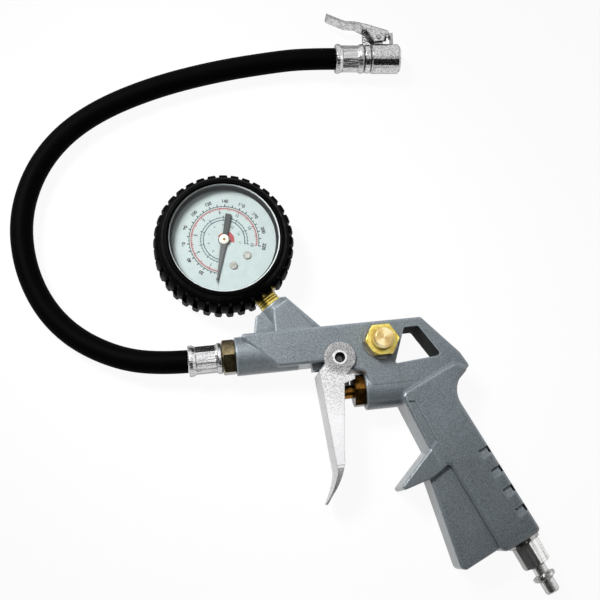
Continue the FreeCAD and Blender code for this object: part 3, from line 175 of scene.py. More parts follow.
class Finish:
    """The node tree of a material or world while it is made: adds its nodes and joins them."""

    def __init__(self, owner):
        self.owner = owner
        owner.use_nodes = True
        self.tree = owner.node_tree
        self.tree.nodes.clear()

    def add(self, kind, settings=None, inputs=None, output=0):
        """Adds a node with its settings and inputs, and gives back one of its outputs."""
        node = self.tree.nodes.new(kind)
        for key, value in (settings or {}).items():
            if key == "stops":
                self.set_stops(node.color_ramp, value)
            else:
                setattr(node, key, value)
        for key, value in (inputs or {}).items():
            if isinstance(value, Signal):
                self.tree.links.new(value.socket, node.inputs[key])
            else:
                node.inputs[key].default_value = value
        if node.outputs:
            return Signal(self, node.outputs[output])

    def set_stops(self, ramp, stops):
        while len(ramp.elements) < len(stops):
            ramp.elements.new(1)
        for element, (place, colour) in zip(ramp.elements, stops):
            element.position = place
            element.color = (*colour, 1)

    def place(self):
        return self.add("ShaderNodeTexCoord", output="Object")

    def radius(self, centre=(0, 0)):
        """How far a point lies from an upright axis, which is the gauge's own if no other is given."""
        flat = self.add("ShaderNodeVectorMath", {"operation": "MULTIPLY"}, {0: self.place(), 1: (1, 1, 0)})
        axis = (*centre, 0)
        return self.add("ShaderNodeVectorMath", {"operation": "DISTANCE"}, {0: flat, 1: axis}, "Value")

    def along(self, axis):
        return self.add("ShaderNodeSeparateXYZ", {}, {0: self.place()}, axis)

    def sheen(self, centre):
        """The two-winged glint of a turned face: 1 along one line through the centre and 0 across it."""
        across = self.along("X") - centre[0]
        up = self.along("Y") - centre[1]
        turn = self.add("ShaderNodeMath", {"operation": "ARCTAN2"}, {0: up, 1: across})
        wings = self.add("ShaderNodeMath", {"operation": "COSINE"}, {0: turn * 2 - 2})
        return wings * 0.5 + 0.5

    def in_box(self, low, high):
        """1 inside a box given in metres and 0 elsewhere."""
        inside = 1
        for axis, least, most in zip("XYZ", low, high):
            share = self.along(axis)
            inside = (share > least) * (share < most) * inside
        return inside

    def noise(self, scale, detail=2, roughness=0.5):
        """Noise whose features are about 1 / scale metres across."""
        return self.add("ShaderNodeTexNoise", {}, {
            "Vector": self.place(), "Scale": scale, "Detail": detail, "Roughness": roughness,
        }, "Fac")

    def streaks(self, scale, turn):
        """Noise drawn out along a line in the X-Y plane, this many degrees from X."""
        turned = self.add("ShaderNodeVectorRotate", {"rotation_type": "Z_AXIS"}, {
            "Vector": self.place(), "Angle": math.radians(-turn),
        })
        drawn = self.add("ShaderNodeVectorMath", {"operation": "MULTIPLY"}, {0: turned, 1: (0.07, 1, 1)})
        return self.add("ShaderNodeTexNoise", {}, {"Vector": drawn, "Scale": scale, "Detail": 2}, "Fac")

    def ramp(self, factor, *stops):
        """A colour that runs through the stops, each a place from 0 to 1 and a colour."""
        return self.add("ShaderNodeValToRGB", {"stops": stops}, {"Fac": factor}, "Color")

    def blend(self, factor, first, second):
        """The first colour where the factor is 0 and the second where it is 1."""
        return self.add("ShaderNodeMix", {"data_type": "RGBA"}, {
            0: factor, 6: solid(first), 7: solid(second),
        }, 2)

    def shaded(self, colour, reach, darkest):
        """The colour with painted shade: darker where other surfaces stand close round the point."""
        open_share = self.add("ShaderNodeAmbientOcclusion", {"samples": 8}, {"Distance": reach}, "AO")
        shade = self.ramp(open_share, (0.15, (darkest,) * 3), (0.8, (1, 1, 1)))
        return self.add("ShaderNodeMix", {"data_type": "RGBA", "blend_type": "MULTIPLY"}, {
            0: 1, 6: solid(colour), 7: shade,
        }, 2)

    def outlined(self, colour, darkest):
        """The colour with painted shade: dark where the surface turns away from the eye."""
        facing = self.add("ShaderNodeLayerWeight", {}, {"Blend": 0.5}, "Facing")
        return self.blend(self.ramp(facing, (0.6, (0, 0, 0)), (0.9, (1, 1, 1))), colour, darkest)

    def soft_edge(self, radius):
        """The normal of a surface whose edges are rounded by this much."""
        return self.add("ShaderNodeBevel", {"samples": 4}, {"Radius": radius})

    def edges(self, width, least=0.985, most=0.86):
        """1 along the edges of the piece and 0 away from them, from how far a rounded normal leans."""
        true_normal = self.add("ShaderNodeNewGeometry", output="Normal")
        lean = self.add("ShaderNodeVectorMath", {"operation": "DOT_PRODUCT"}, {
            0: self.soft_edge(width), 1: true_normal,
        }, "Value")
        return self.ramp(lean, (most, (1, 1, 1)), (least, (0, 0, 0)))

    def bump(self, height, distance, edge=0.0002):
        """The normal of a surface with this relief, whose edges are rounded."""
        return self.add("ShaderNodeBump", {}, {
            "Height": height, "Distance": distance, "Strength": 1, "Normal": self.soft_edge(edge),
        }, "Normal")

    def surface(self, **inputs):
        """The main shader, with its inputs named by their words joined with underscores."""
        return self.add("ShaderNodeBsdfPrincipled", {}, {
            name.replace("_", " "): solid(value) for name, value in inputs.items()
        }, "BSDF")

    def finished(self, shader):
        """Joins the shader to the output, and gives back the material or world."""
        kind = "World" if isinstance(self.owner, bpy.types.World) else "Material"
        self.add(f"ShaderNodeOutput{kind}", {}, {"Surface": shader})
        return self.owner


def material(name):
    """A new material, ready for its nodes."""
    return Finish(bpy.data.materials.new(name))


def solid(value):
    """A colour of three numbers gets its alpha; anything else stays as it is."""
    if isinstance(value, (tuple, list)) and len(value) == 3:
        return (*value, 1)
    return value


def scaled(colour, share):
    """The colour made lighter or darker by this share."""
    return tuple(part * share for part in colour)


def grey_enamel(colour):
    """Sparkling grey enamel on the casting, with a painted highlight along its edges, painted shade in its
    corners and the window's sides painted near black as their shade.
    """
    finish = material("grey_enamel")
    cloud = finish.noise(40, 3)
    grain = finish.noise(1500, 3, 0.7)
    speck = finish.noise(2300, 1) > 0.62
    tone = finish.ramp(grain * 0.85 + cloud * 0.15, (0.4, scaled(colour, 0.66)), (0.6, scaled(colour, 1.3)))
    bright = scaled(colour, 2.4)
    sparkle_and_edge_highlight = finish.blend(speck * 0.35, tone, bright)
    # The flakes are the enamel's own; the lighter line along the edges is a painted highlight.
    sparkle_and_edge_highlight = finish.blend(finish.edges(width=0.0015, least=0.997, most=0.94) * 0.5, sparkle_and_edge_highlight, bright)
    # The window's sides are painted near black as their shade.
    painted_wall_shade = finish.in_box(WINDOW_LOW, WINDOW_HIGH)
    painted_wall_shade = painted_wall_shade * (finish.along("X") + finish.along("Y") * WINDOW_LEAN < WINDOW_END)
    # Painted shade in the corners.
    face = finish.shaded(sparkle_and_edge_highlight, reach=0.005, darkest=0.25)
    return finish.finished(finish.surface(
        Base_Color=finish.blend(painted_wall_shade, face, (0.012, 0.013, 0.014)),
        Roughness=0.3 + cloud * 0.1 + painted_wall_shade * 0.6,
        Metallic=(1 - painted_wall_shade) * 0.2,
        Normal=finish.bump(grain, 0.00005, 0.001),
        Coat_Weight=(1 - painted_wall_shade) * 0.3,
        Coat_Roughness=0.16,
    ))


def turned_brass(name, colour, tarnish_and_shade, rough, metal=1.0):
    """Machined brass with fine tool lines, a little tarnish, and painted shade along its edges, at its
    outline and in its corners.
    """
    finish = material(name)
    stain = finish.noise(260, 4, 0.6)
    grain = finish.noise(4000, 1)
    tone = finish.ramp(stain, (0.34, tarnish_and_shade), (0.56, colour))
    # Painted shade along the edges, in a darker copy of the tarnish colour.
    tone = finish.blend(finish.edges(0.0007) * 0.5, tone, scaled(tarnish_and_shade, 0.3))
    return finish.finished(finish.surface(
        # Painted shade where the surface turns away from the eye and in the corners.
        Base_Color=finish.shaded(finish.outlined(tone, scaled(tarnish_and_shade, 0.2)), 0.003, 0.1),
        Metallic=metal,
        Roughness=rough + stain * 0.14,
        Normal=finish.bump(grain, 0.00001, 0.0003),
    ))


def turned_face(name, colour, centre):
    """The turned end of a brass button, with its rings and glint."""
    finish = material(name)
    rings = finish.add("ShaderNodeMath", {"operation": "SINE"}, {0: finish.radius(centre) * 12000})
    glint = finish.ramp(
        finish.sheen(centre) + finish.noise(900) * 0.3, (0.2, scaled(colour, 0.75)), (0.7, colour),
        (1, tuple(min(1, part + 0.25) for part in colour)),
    )
    return finish.finished(finish.surface(
        Base_Color=finish.shaded(glint, 0.003, 0.1),
        Metallic=0.7,
        Roughness=0.24 + rings * 0.04,
        Normal=finish.bump(rings, 0.000004, 0.0004),
    ))


def plated(name, colour, rough, waves=0.00005, wave_scale=120, turn=None, line=0.0005):
    """Bright plate that isn't perfectly flat, its waves drawn out along a line if a turn is given, with
    painted shade along its edges, at its outline and in its corners.
    """
    finish = material(name)
    wave = finish.noise(wave_scale, 2) if turn is None else finish.streaks(wave_scale, turn)
    grain = finish.noise(2200, 2)
    tone = finish.ramp(grain * 0.5 + wave * 0.5, (0.4, scaled(colour, 0.45)), (0.56, colour))
    # Painted shade along the edges, as wide as the line.
    tone = finish.blend(finish.edges(line) * 0.85, tone, scaled(colour, 0.06))
    return finish.finished(finish.surface(
        # Painted shade where the surface turns away from the eye and in the corners.
        Base_Color=finish.shaded(finish.outlined(tone, scaled(colour, 0.06)), 0.003, 0.1),
        Metallic=1.0,
        Roughness=rough + grain * 0.08,
        Normal=finish.bump(wave, waves, 0.0003),
    ))


def pressed_lever(colour):
    """The trigger's bright plate: brushed and darker on its front with a dark band in its fold, both painted
    shade, whiter on its side as painted light, speckled at its head, with painted shade along its edges and
    in its corners.
    """
    finish = material("pressed_lever")
    grain = finish.noise(1300, 3, 0.7)
    height = finish.along("Z")
    side = height > LEVER_TOP - 0.0002
    fold = (height > LEVER_TOP - LEVER_FOLD) * (finish.along("Y") > LEVER_FOLD_END) * (1 - side)
    reach = finish.radius(PIVOT)
    # The front's darker tone and the dark band in the fold are painted shade.
    front = finish.ramp(grain, (0.35, scaled(colour, 0.4)), (0.65, scaled(colour, 0.75)))
    tone = finish.blend(fold, front, scaled(colour, 0.2))
    # The side's whiter tone is painted light.
    white = finish.ramp(grain, (0.4, scaled(colour, 1.1)), (0.56, scaled(colour, 1.25)))
    tone = finish.blend(side, tone, white)
    wear_and_glint = finish.ramp(grain, (0.4, scaled(colour, 0.6)), (0.58, scaled(colour, 1.1)))
    speckled = finish.ramp(grain, (0.4, scaled(colour, 0.2)), (0.6, scaled(colour, 0.62)))
    neck = finish.ramp(reach * 25 + grain * 0.3, (0.6, (1, 1, 1)), (1, (0, 0, 0)))
    head = finish.ramp(reach * 60 + grain * 0.3, (0.6, (1, 1, 1)), (0.8, (0, 0, 0)))
    tone = finish.blend(neck * side, tone, wear_and_glint)
    tone = finish.blend(head * side, tone, speckled)
    # Painted shade along the edges.
    tone = finish.blend(finish.edges(0.0007) * 0.7, tone, scaled(colour, 0.1))
    return finish.finished(finish.surface(
        # Painted shade in the corners.
        Base_Color=finish.shaded(tone, 0.003, 0.1),
        Metallic=0.4,
        Roughness=0.25 + grain * 0.12,
        Normal=finish.bump(grain, 0.00002, 0.0003),
    ))


def pivot_plate(colour):
    """The hollow pivot pin: a bright turned rim round a well painted near black as its shade, with a grey
    core that is a painted highlight in the bore.
    """
    finish = material("pivot_plate")
    grain = finish.noise(1500, 2)
    reach = finish.radius(PIVOT)
    rim = finish.ramp(grain, (0.35, scaled(colour, 0.8)), (0.65, scaled(colour, 1.2)))
    # The well is painted near black as its shade.
    tone = finish.blend(reach < WELL_RADIUS, rim, (0.01, 0.01, 0.01))
    # The grey core, a little off the axis, is a painted highlight in the bore.
    core = finish.radius((PIVOT[0] + 0.0002, PIVOT[1] - 0.0001)) < CORE_RADIUS
    wear_and_glint = finish.ramp(grain, (0.4, (0.03, 0.03, 0.03)), (0.6, (0.2, 0.2, 0.2)))
    return finish.finished(finish.surface(
        Base_Color=finish.blend(core, tone, wear_and_glint),
        Metallic=0.6,
        Roughness=0.2 + grain * 0.1,
        Normal=finish.bump(grain, 0.00001, 0.0003),
    ))


def rubber(name, colour, rough, grain_scale, grain_depth):
    """Matte black rubber with a fine grain and a faint bloom."""
    finish = material(name)
    grain = finish.noise(grain_scale, 3)
    bloom = finish.noise(45, 3)
    return finish.finished(finish.surface(
        Base_Color=finish.ramp(bloom, (0.3, colour), (0.75, scaled(colour, 2))),
        Roughness=rough + bloom * 0.12,
        Specular_IOR_Level=0.015,
        Normal=finish.bump(grain, grain_depth, 0.0003),
    ))


def clear_lens():
    """A clear pane that only shows its reflections."""
    finish = material("clear_lens")
    scuff = finish.noise(700, 2)
    edge = finish.add("ShaderNodeLayerWeight", {}, {"Blend": 0.25}, "Fresnel")
    return finish.finished(finish.surface(
        Base_Color=(0.6, 0.64, 0.65), Roughness=0.02 + scuff * 0.03, Alpha=0.02 + edge * 0.25, IOR=1.45,
    ))


def plain_plastic(name, colour, rough, reach=0.003, darkest=0.3):
    """A smooth, even surface with a little cloud and painted shade in its corners, also for the dial's ground
    and the stage's cards.
    """
    finish = material(name)
    cloud = finish.noise(300, 3)
    tone = finish.ramp(cloud, (0.3, scaled(colour, 0.92)), (0.7, colour))
    return finish.finished(finish.surface(
        Base_Color=finish.shaded(tone, reach, darkest),
        Roughness=rough + cloud * 0.1,
        Normal=finish.bump(finish.noise(2500, 1), 0.00001),
    ))


def case_lacquer():
    """Black lacquer, with the case's inner side painted lighter grey as painted light, and a bright rim, that
    show round the dial.
    """
    finish = material("case_lacquer")
    inside = (finish.radius() < CASE_WALL) * (finish.along("Z") > DIAL_FACE)
    cloud = finish.noise(300, 3)
    black = finish.ramp(cloud, (0.3, (0.008, 0.008, 0.009)), (0.7, (0.014, 0.014, 0.015)))
    # The lighter grey inside the case is painted light.
    painted_lit_wall = finish.blend(inside, black, (0.16, 0.18, 0.18))
    return finish.finished(finish.surface(
        Base_Color=finish.blend(inside * (finish.along("Z") > RIM_BASE), painted_lit_wall, (0.62, 0.66, 0.66)),
        Roughness=0.3 + cloud * 0.1,
        Normal=finish.bump(finish.noise(2500, 1), 0.00001),
    ))


def needle_paint():
    """Dark paint on the needle, darkest on its tail as painted shade, a cream cap on its hub and its arbor's
    brass end.
    """
    finish = material("needle_paint")
    cloud = finish.noise(500, 2)
    dark = finish.ramp(cloud, (0.3, (0.045, 0.05, 0.05)), (0.7, (0.065, 0.07, 0.07)))
    # The tail's darker tone is painted shade.
    arm = finish.blend(finish.along("Y") > TAIL_START, dark, (0.004, 0.009, 0.006))
    cap = finish.blend(finish.along("Z") > HUB_BASE + 0.0001, arm, (0.80, 0.76, 0.64))
    arbor = (finish.radius() < ARBOR_RADIUS) * (finish.along("Z") > HUB_BASE)
    return finish.finished(finish.surface(
        Base_Color=finish.blend(arbor, cap, (0.55, 0.36, 0.09)),
        Roughness=0.4 + cloud * 0.1,
    ))


def printed(name, colour):
    """Screen ink, a little uneven."""
    finish = material(name)
    ink = finish.noise(1800, 2)
    thin = tuple(part + 0.02 for part in colour)
    return finish.finished(finish.surface(
        Base_Color=finish.ramp(ink, (0.3, colour), (0.8, thin)),
        Roughness=0.5 + ink * 0.1,
    ))


def text_shape(shape, words, size, centre, turn, lift):
    """Adds a flat number to a bmesh, centred at a point of the dial and turned by an angle in degrees."""
    curve = bpy.data.curves.new("number", "FONT")
    curve.body = words
    curve.size = size
    curve.offset = size * 0.045
    curve.align_x = "CENTER"
    curve.align_y = "CENTER"
    holder = bpy.data.objects.new("number", curve)
    bpy.context.scene.collection.objects.link(holder)
    bpy.context.view_layer.update()
    mesh = bpy.data.meshes.new_from_object(holder)
    place = Matrix.Translation((centre[0], centre[1], lift)) @ Matrix.Rotation(math.radians(turn), 4, "Z")
    mesh.transform(place)
    shape.from_mesh(mesh)
    bpy.data.objects.remove(holder)
    bpy.data.curves.remove(curve)
    bpy.data.meshes.remove(mesh)


def arc_band(shape, radius, width, start, sweep, lift, steps=96):
    """Adds a flat ring band round the origin by spinning one short edge."""
    low = shape.verts.new(in_plane(start) * (radius - width / 2) + Vector((0, 0, lift)))
    high = shape.verts.new(in_plane(start) * (radius + width / 2) + Vector((0, 0, lift)))
    edge = shape.edges.new((low, high))
    bmesh.ops.spin(
        shape, geom=[low, high, edge], cent=(0, 0, 0), axis=(0, 0, 1), angle=math.radians(sweep), steps=steps,
        use_merge=False,
    )


def tick(shape, angle, inner, outer, width, lift):
    """Adds one flat radial mark."""
    along = in_plane(angle)
    across = in_plane(angle + 90) * width / 2
    raised = Vector((0, 0, lift))
    corners = [along * inner - across, along * outer - across, along * outer + across, along * inner + across]
    shape.faces.new([shape.verts.new(corner + raised) for corner in corners])


def scale_angle(share):
    """The direction on the dial at this share of the full scale, clockwise from the needle's rest."""
    return NEEDLE_REST - SCALE_SWEEP * share


def scale_lines(shape, settings):
    """Adds the band and the ticks of one printed scale."""
    band, side = settings["band"] * MM, settings["side"]
    lift = DIAL_FACE + SCALE_LIFT
    arc_band(shape, band, settings["band_width"] * MM, scale_angle(1), SCALE_SWEEP, lift)
    count = settings["ticks"]
    for index in range(count + 1):
        long = index % settings["every"] == 0
        reach = (settings["long"] if long else settings["short"]) * MM * side
        inner, outer = sorted((band, band + reach))
        width = LONG_TICK_WIDTH if long else SHORT_TICK_WIDTH
        tick(shape, scale_angle(index / count), inner, outer, width, lift)


def scale_numbers(shape, settings, lift):
    """Adds the numbers of one printed scale."""
    for value in settings["numbers"]:
        angle = scale_angle(value / settings["full"])
        centre = in_plane(angle) * settings["number_radius"] * MM
        text_shape(shape, str(value), settings["number_size"] * MM, centre, angle - 90, lift)


class HoseSettings(bpy.types.PropertyGroup):
    diameter: FloatProperty(
        name="Diameter", description="Outer diameter of the hose", default=0.0128, unit="LENGTH",
    )
    length: FloatProperty(
        name="Length", description="Length of the hose between its ferrules", default=0.3683, unit="LENGTH",
    )


class FinishSettings(bpy.types.PropertyGroup):
    enamel_colour: FloatVectorProperty(
        name="Enamel", description="Colour of the enamel on the cast body", default=(0.146, 0.17, 0.186),
        subtype="COLOR",
    )
    brass_colour: FloatVectorProperty(
        name="Brass", description="Colour of clean turned brass", default=(0.74, 0.48, 0.09), subtype="COLOR",
    )
    plate_colour: FloatVectorProperty(
        name="Plate", description="Colour of the bright plate", default=(0.74, 0.74, 0.75), subtype="COLOR",
    )
    dial_colour: FloatVectorProperty(
        name="Dial", description="Colour of the printed dial's ground", default=(0.41, 0.49, 0.48),
        subtype="COLOR",
    )


class StageSettings(bpy.types.PropertyGroup):
    key_power: FloatProperty(
        name="Key lamp", description="Power of the lamp at the upper left", default=0.55, unit="POWER",
    )
    side_power: FloatProperty(
        name="Side lamp", description="Power of the low lamp at the right", default=0.4, unit="POWER",
    )
    sky: FloatProperty(
        name="Sky", description="Strength of the even light from all round", default=0.1,
    )


class INFLATOR_OT_finishes(bpy.types.Operator):
    """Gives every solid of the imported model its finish"""
    bl_idname = "inflator.finishes"
    bl_label = "Finishes"

    def execute(self, context):
        settings = context.scene.inflator_finishes
        brass = tuple(settings.brass_colour)
        plate = tuple(settings.plate_colour)
        materials = {
            "grey_paint": grey_enamel(tuple(settings.enamel_colour)),
            "black_rubber": rubber("boot_rubber", (0.001, 0.001, 0.001), 0.38, 1500, 0.00003),
            "hose_rubber": rubber("hose_rubber", (0.0006, 0.0006, 0.0006), 0.5, 1200, 0.00004),
            "seal_rubber": rubber("seal_rubber", (0.008, 0.008, 0.008), 0.4, 2000, 0.00001),
            "bright_plate": plated("bright_plate", plate, 0.14, waves=0.00012, wave_scale=240),
            "polished_lever": pressed_lever(plate),
            "brass": turned_brass("turned_brass", brass, (0.38, 0.2, 0.025), 0.14),
            "movement_brass": turned_brass("movement_brass", (0.78, 0.60, 0.27), (0.6, 0.42, 0.16), 0.25),
            "steel": plated("turned_steel", (0.50, 0.49, 0.48), 0.14, waves=0.00003, wave_scale=300),
            "spring_steel": plated("spring_steel", (0.42, 0.42, 0.43), 0.25, waves=0.00001, wave_scale=500),
            "case_black": case_lacquer(),
            "dial_white": plain_plastic(
                "dial_ground", tuple(settings.dial_colour), 0.45, reach=0.0034, darkest=0.35,
            ),
            "needle_black": needle_paint(),
            "clear_lens": clear_lens(),
            "white_plastic": plain_plastic("white_plastic", (0.7, 0.7, 0.67), 0.45),
        }
        bright = turned_brass("bright_brass", (0.86, 0.72, 0.2), (0.68, 0.48, 0.08), 0.16, metal=0.75)
        bronze = turned_brass("dark_bronze", (0.26, 0.12, 0.022), (0.04, 0.018, 0.005), 0.2)
        low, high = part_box("bleed_button")
        button_axis = ((low[0] + high[0]) / 2, (low[1] + high[1]) / 2)
        crimped = plated("crimped_plate", plate, 0.22, waves=0.0002, wave_scale=1100, turn=0)
        own = {
            "bleed_valve_body": bright,
            "bleed_button": turned_face("turned_button", (0.84, 0.60, 0.24), button_axis),
            "gauge_socket": bright,
            "ferrule_gun": crimped,
            "ferrule_chuck": crimped,
            "chuck_body": plated(
                "cast_plate", scaled(plate, 0.95), 0.12, waves=0.00004, wave_scale=800, line=0.0012,
            ),
            "clip_lever": plated(
                "clip_plate", scaled(plate, 0.92), 0.16, waves=0.0001, wave_scale=500, line=0.0013,
            ),
            "bleed_washer": plated("washer_steel", (0.4, 0.4, 0.4), 0.25),
            "valve_gland_nut": bronze,
            "valve_stem": bronze,
            "hose_fitting_gun": turned_brass("pale_bronze", (0.46, 0.38, 0.22), (0.3, 0.23, 0.12), 0.16),
            "trigger_pin": pivot_plate(plate),
            "dial_screws": plated("screw_zinc", (0.6, 0.6, 0.54), 0.25, line=0.0006),
            "inlet_plug": plated(
                "streaked_steel", (0.66, 0.66, 0.65), 0.27, waves=0.00018, wave_scale=420, turn=GRIP_ANGLE,
            ),
        }
        slots = {entry["node"]: entry["material_slot"] for entry in frame["record"]["subparts"]}
        for name, node in NODES.items():
            if not node.material_slots:
                node.data.materials.append(None)
            for holder in node.material_slots:
                holder.material = own.get(name, materials[slots[name]])
        return {"FINISHED"}


class INFLATOR_OT_springs(bpy.types.Operator):
    """Shows each coil spring as a copy of its own, held on the gun's body in place of the solid"""
    bl_idname = "inflator.springs"
    bl_label = "Springs"

    def execute(self, context):
        for name, joint, way, travel in SPRINGS:
            mesh = NODES[name].data.copy()
            coil = bpy.data.objects.new(f"{name}_coil", mesh)
            context.scene.collection.objects.link(coil)
            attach(coil, "gun")
            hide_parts(name)
            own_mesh(coil)
        return {"FINISHED"}


class INFLATOR_OT_hose(bpy.types.Operator):
    """Lays the rubber hose on its route from the gun's ferrule to the chuck's ferrule"""
    bl_idname = "inflator.hose"
    bl_label = "Hose"

    def execute(self, context):
        settings = context.scene.inflator_hose
        curve = bpy.data.curves.new("hose_line", "CURVE")
        curve.dimensions = "3D"
        spline = curve.splines.new("NURBS")
        spline.points.add(len(HOSE_ROUTE) - 1)
        for point, spot in zip(spline.points, HOSE_ROUTE):
            point.co = (*(Vector(spot) * MM), 1)
        spline.order_u = 3
        spline.use_endpoint_u = True
        spline.resolution_u = 24
        curve.bevel_depth = settings.diameter / 2
        curve.bevel_resolution = 12
        curve.use_fill_caps = True
        curve.materials.append(NODES["hose"].material_slots[0].material)
        hose = bpy.data.objects.new("rubber_hose", curve)
        context.scene.collection.objects.link(hose)
        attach(hose, "gun")
        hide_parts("hose")
        return {"FINISHED"}


class INFLATOR_OT_dial_print(bpy.types.Operator):
    """Prints the scales, their numbers and the red segment on the dial"""
    bl_idname = "inflator.dial_print"
    bl_label = "Dial print"

    def execute(self, context):
        lift = DIAL_FACE + RING_LIFT
        black = bmesh.new()
        scale_lines(black, OUTER_SCALE)
        scale_numbers(black, OUTER_SCALE, DIAL_FACE + SCALE_LIFT)
        # A dark ring round the hub, 3.1 mm out, drawn with the black marks.
        arc_band(black, radius=3.1 * MM, width=0.4 * MM, start=0, sweep=360, lift=lift, steps=48)
        self.print_piece("dial_print_black", black, (0.008, 0.012, 0.012))
        red = bmesh.new()
        scale_lines(red, RED_SCALE)
        arc_band(red, radius=4.4 * MM, width=2.6 * MM, start=-20, sweep=105, lift=lift, steps=24)
        arc_band(red, radius=3.6 * MM, width=0.8 * MM, start=85, sweep=60, lift=lift, steps=12)
        self.print_piece("dial_print_red", red, (0.3, 0.012, 0.015))
        grey = bmesh.new()
        scale_lines(grey, MIDDLE_SCALE)
        scale_numbers(grey, MIDDLE_SCALE, DIAL_FACE + SCALE_LIFT)
        scale_lines(grey, INNER_SCALE)
        self.print_piece("dial_print_grey", grey, (0.015, 0.045, 0.065))
        pale = bmesh.new()
        scale_numbers(pale, INNER_SCALE, lift)
        self.print_piece("dial_print_pale", pale, (0.09, 0.17, 0.14))
        return {"FINISHED"}

    def print_piece(self, name, shape, colour):
        """Turns a finished bmesh of flat marks into a printed piece on the gun's body."""
        mesh = bpy.data.meshes.new(name)
        shape.to_mesh(mesh)
        shape.free()
        mesh.materials.append(printed(name, colour))
        piece = bpy.data.objects.new(name, mesh)
        bpy.context.scene.collection.objects.link(piece)
        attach(piece, "gun")


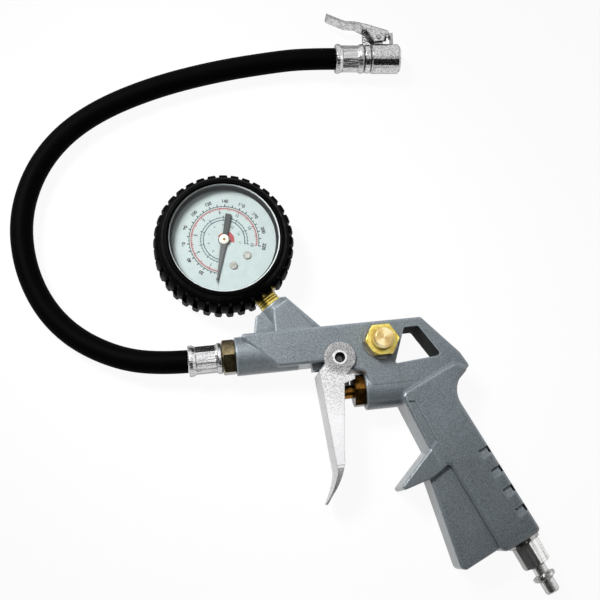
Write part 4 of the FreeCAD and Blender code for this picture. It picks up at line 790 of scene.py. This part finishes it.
class INFLATOR_OT_stage(bpy.types.Operator):
    """Sets the white floor, the soft lamps and the camera"""
    bl_idname = "inflator.stage"
    bl_label = "Stage"

    def execute(self, context):
        settings = context.scene.inflator_stage
        scene = context.scene
        shape = bmesh.new()
        bmesh.ops.create_grid(shape, x_segments=1, y_segments=1, size=4)
        mesh = bpy.data.meshes.new("floor")
        shape.to_mesh(mesh)
        shape.free()
        finish = material("white_floor")
        path = self.seen(finish)
        paper = finish.add("ShaderNodeBsdfDiffuse", {}, {"Color": (0.9, 0.9, 0.9, 1)})
        glow = finish.add("ShaderNodeEmission", {}, {"Color": (1, 1, 1, 1), "Strength": 1.0})
        shader = finish.add("ShaderNodeMixShader", {}, {0: path * 0.94, 1: paper, 2: glow})
        mesh.materials.append(finish.finished(shader))
        floor = bpy.data.objects.new("floor", mesh)
        floor.location.z = -0.2 * MM
        scene.collection.objects.link(floor)
        self.sky(scene, settings)
        self.lamp(
            scene, "key_lamp", settings.key_power,
            size=0.3, spot=(-0.3, 0.3, 0.55), aim=(0, -0.01, 0), spread=30,
        )
        self.lamp(
            scene, "side_lamp", settings.side_power,
            size=0.4, spot=(0.75, 0.1, 0.35), aim=(0.045, -0.045, 0), spread=180,
        )
        self.card(scene, "ceiling_card", centre=(-0.15, -0.58, 0.9), size=(1.3, 0.65))
        self.card(scene, "ceiling_card_right", centre=(0.55, -0.15, 0.9), size=(0.55, 0.45))
        self.card(scene, "side_card", centre=(-0.7, -0.3, 0.5), size=(0.8, 1.1), turn=(0, 90))
        self.card(scene, "front_card", centre=(0, -0.9, 0.6), size=(1.4, 0.6), turn=(90, 0))
        camera = bpy.data.objects.new("camera", bpy.data.cameras.new("camera"))
        camera.data.sensor_width = 36
        camera.data.lens = 66
        camera.data.clip_start = 0.01
        camera.location = Vector(CAMERA_SPOT) * MM
        camera.rotation_euler = Euler([math.radians(turn) for turn in CAMERA_TURN])
        scene.collection.objects.link(camera)
        scene.camera = camera
        scene.view_settings.view_transform = "Standard"
        return {"FINISHED"}

    def seen(self, finish):
        """1 for rays from the camera, a mirror or a glass, and 0 for the rays that light the object."""
        kinds = ("Camera", "Glossy", "Transmission")
        eye, glossy, clear = (finish.add("ShaderNodeLightPath", output=f"Is {kind} Ray") for kind in kinds)
        clamped = {"operation": "ADD", "use_clamp": True}
        return finish.add("ShaderNodeMath", clamped, {0: eye + glossy, 1: clear})

    def sky(self, scene, settings):
        """A white sky to look at, which lights the object only a little."""
        finish = Finish(bpy.data.worlds.new("studio"))
        strength = self.seen(finish) * (1 - settings.sky) + settings.sky
        glow = finish.add("ShaderNodeBackground", {}, {"Color": (1, 1, 1, 1), "Strength": strength})
        scene.world = finish.finished(glow)

    def card(self, scene, name, centre, size, turn=(0, 0)):
        """A dark card that only the reflections show, turned about X and Y by angles in degrees."""
        shape = bmesh.new()
        bmesh.ops.create_grid(shape, x_segments=1, y_segments=1, size=0.5)
        bmesh.ops.scale(shape, vec=(*size, 1), verts=shape.verts)
        tilt = Euler((math.radians(turn[0]), math.radians(turn[1]), 0)).to_matrix().to_4x4()
        place = Matrix.Translation(centre) @ tilt
        bmesh.ops.transform(shape, matrix=place, verts=shape.verts)
        mesh = bpy.data.meshes.new(name)
        shape.to_mesh(mesh)
        shape.free()
        mesh.materials.append(plain_plastic(name, (0.04, 0.04, 0.04), 0.8))
        card = bpy.data.objects.new(name, mesh)
        scene.collection.objects.link(card)
        card.visible_camera = False
        card.visible_diffuse = False
        card.visible_shadow = False

    def lamp(self, scene, name, power, size, spot, aim, spread):
        """A square lamp at a spot, turned towards its aim, its beam's spread in degrees."""
        light = bpy.data.lights.new(name, "AREA")
        light.energy = power
        light.size = size
        light.spread = math.radians(spread)
        lamp = bpy.data.objects.new(name, light)
        lamp.location = spot
        lamp.rotation_euler = (Vector(aim) - Vector(spot)).to_track_quat("-Z", "Y").to_euler()
        scene.collection.objects.link(lamp)


class INFLATOR_PT_panel(bpy.types.Panel):
    """Lists the steps that dress the inflator"""
    bl_idname = "INFLATOR_PT_panel"
    bl_label = "Tire Inflator Gun"
    bl_space_type = "VIEW_3D"
    bl_region_type = "UI"
    bl_category = "Inflator"

    def draw(self, context):
        scene = context.scene
        for operator in OPERATORS:
            self.layout.operator(operator.bl_idname)
        for group in (scene.inflator_hose, scene.inflator_finishes, scene.inflator_stage):
            for name in group.__annotations__:
                self.layout.prop(group, name)


GROUPS = {
    "inflator_hose": HoseSettings,
    "inflator_finishes": FinishSettings,
    "inflator_stage": StageSettings,
}
OPERATORS = [
    INFLATOR_OT_finishes,
    INFLATOR_OT_springs,
    INFLATOR_OT_hose,
    INFLATOR_OT_dial_print,
    INFLATOR_OT_stage,
]


def register():
    for name, group in GROUPS.items():
        bpy.utils.register_class(group)
        setattr(bpy.types.Scene, name, PointerProperty(type=group))
    for operator in OPERATORS:
        bpy.utils.register_class(operator)
    bpy.utils.register_class(INFLATOR_PT_panel)


def unregister():
    bpy.utils.unregister_class(INFLATOR_PT_panel)
    for operator in reversed(OPERATORS):
        bpy.utils.unregister_class(operator)
    for name, group in GROUPS.items():
        delattr(bpy.types.Scene, name)
        bpy.utils.unregister_class(group)


def main():
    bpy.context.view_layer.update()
    register()
    bpy.ops.inflator.finishes()
    bpy.ops.inflator.springs()
    bpy.ops.inflator.hose()
    bpy.ops.inflator.dial_print()
    bpy.ops.inflator.stage()


if __name__ == "__main__":
    main()
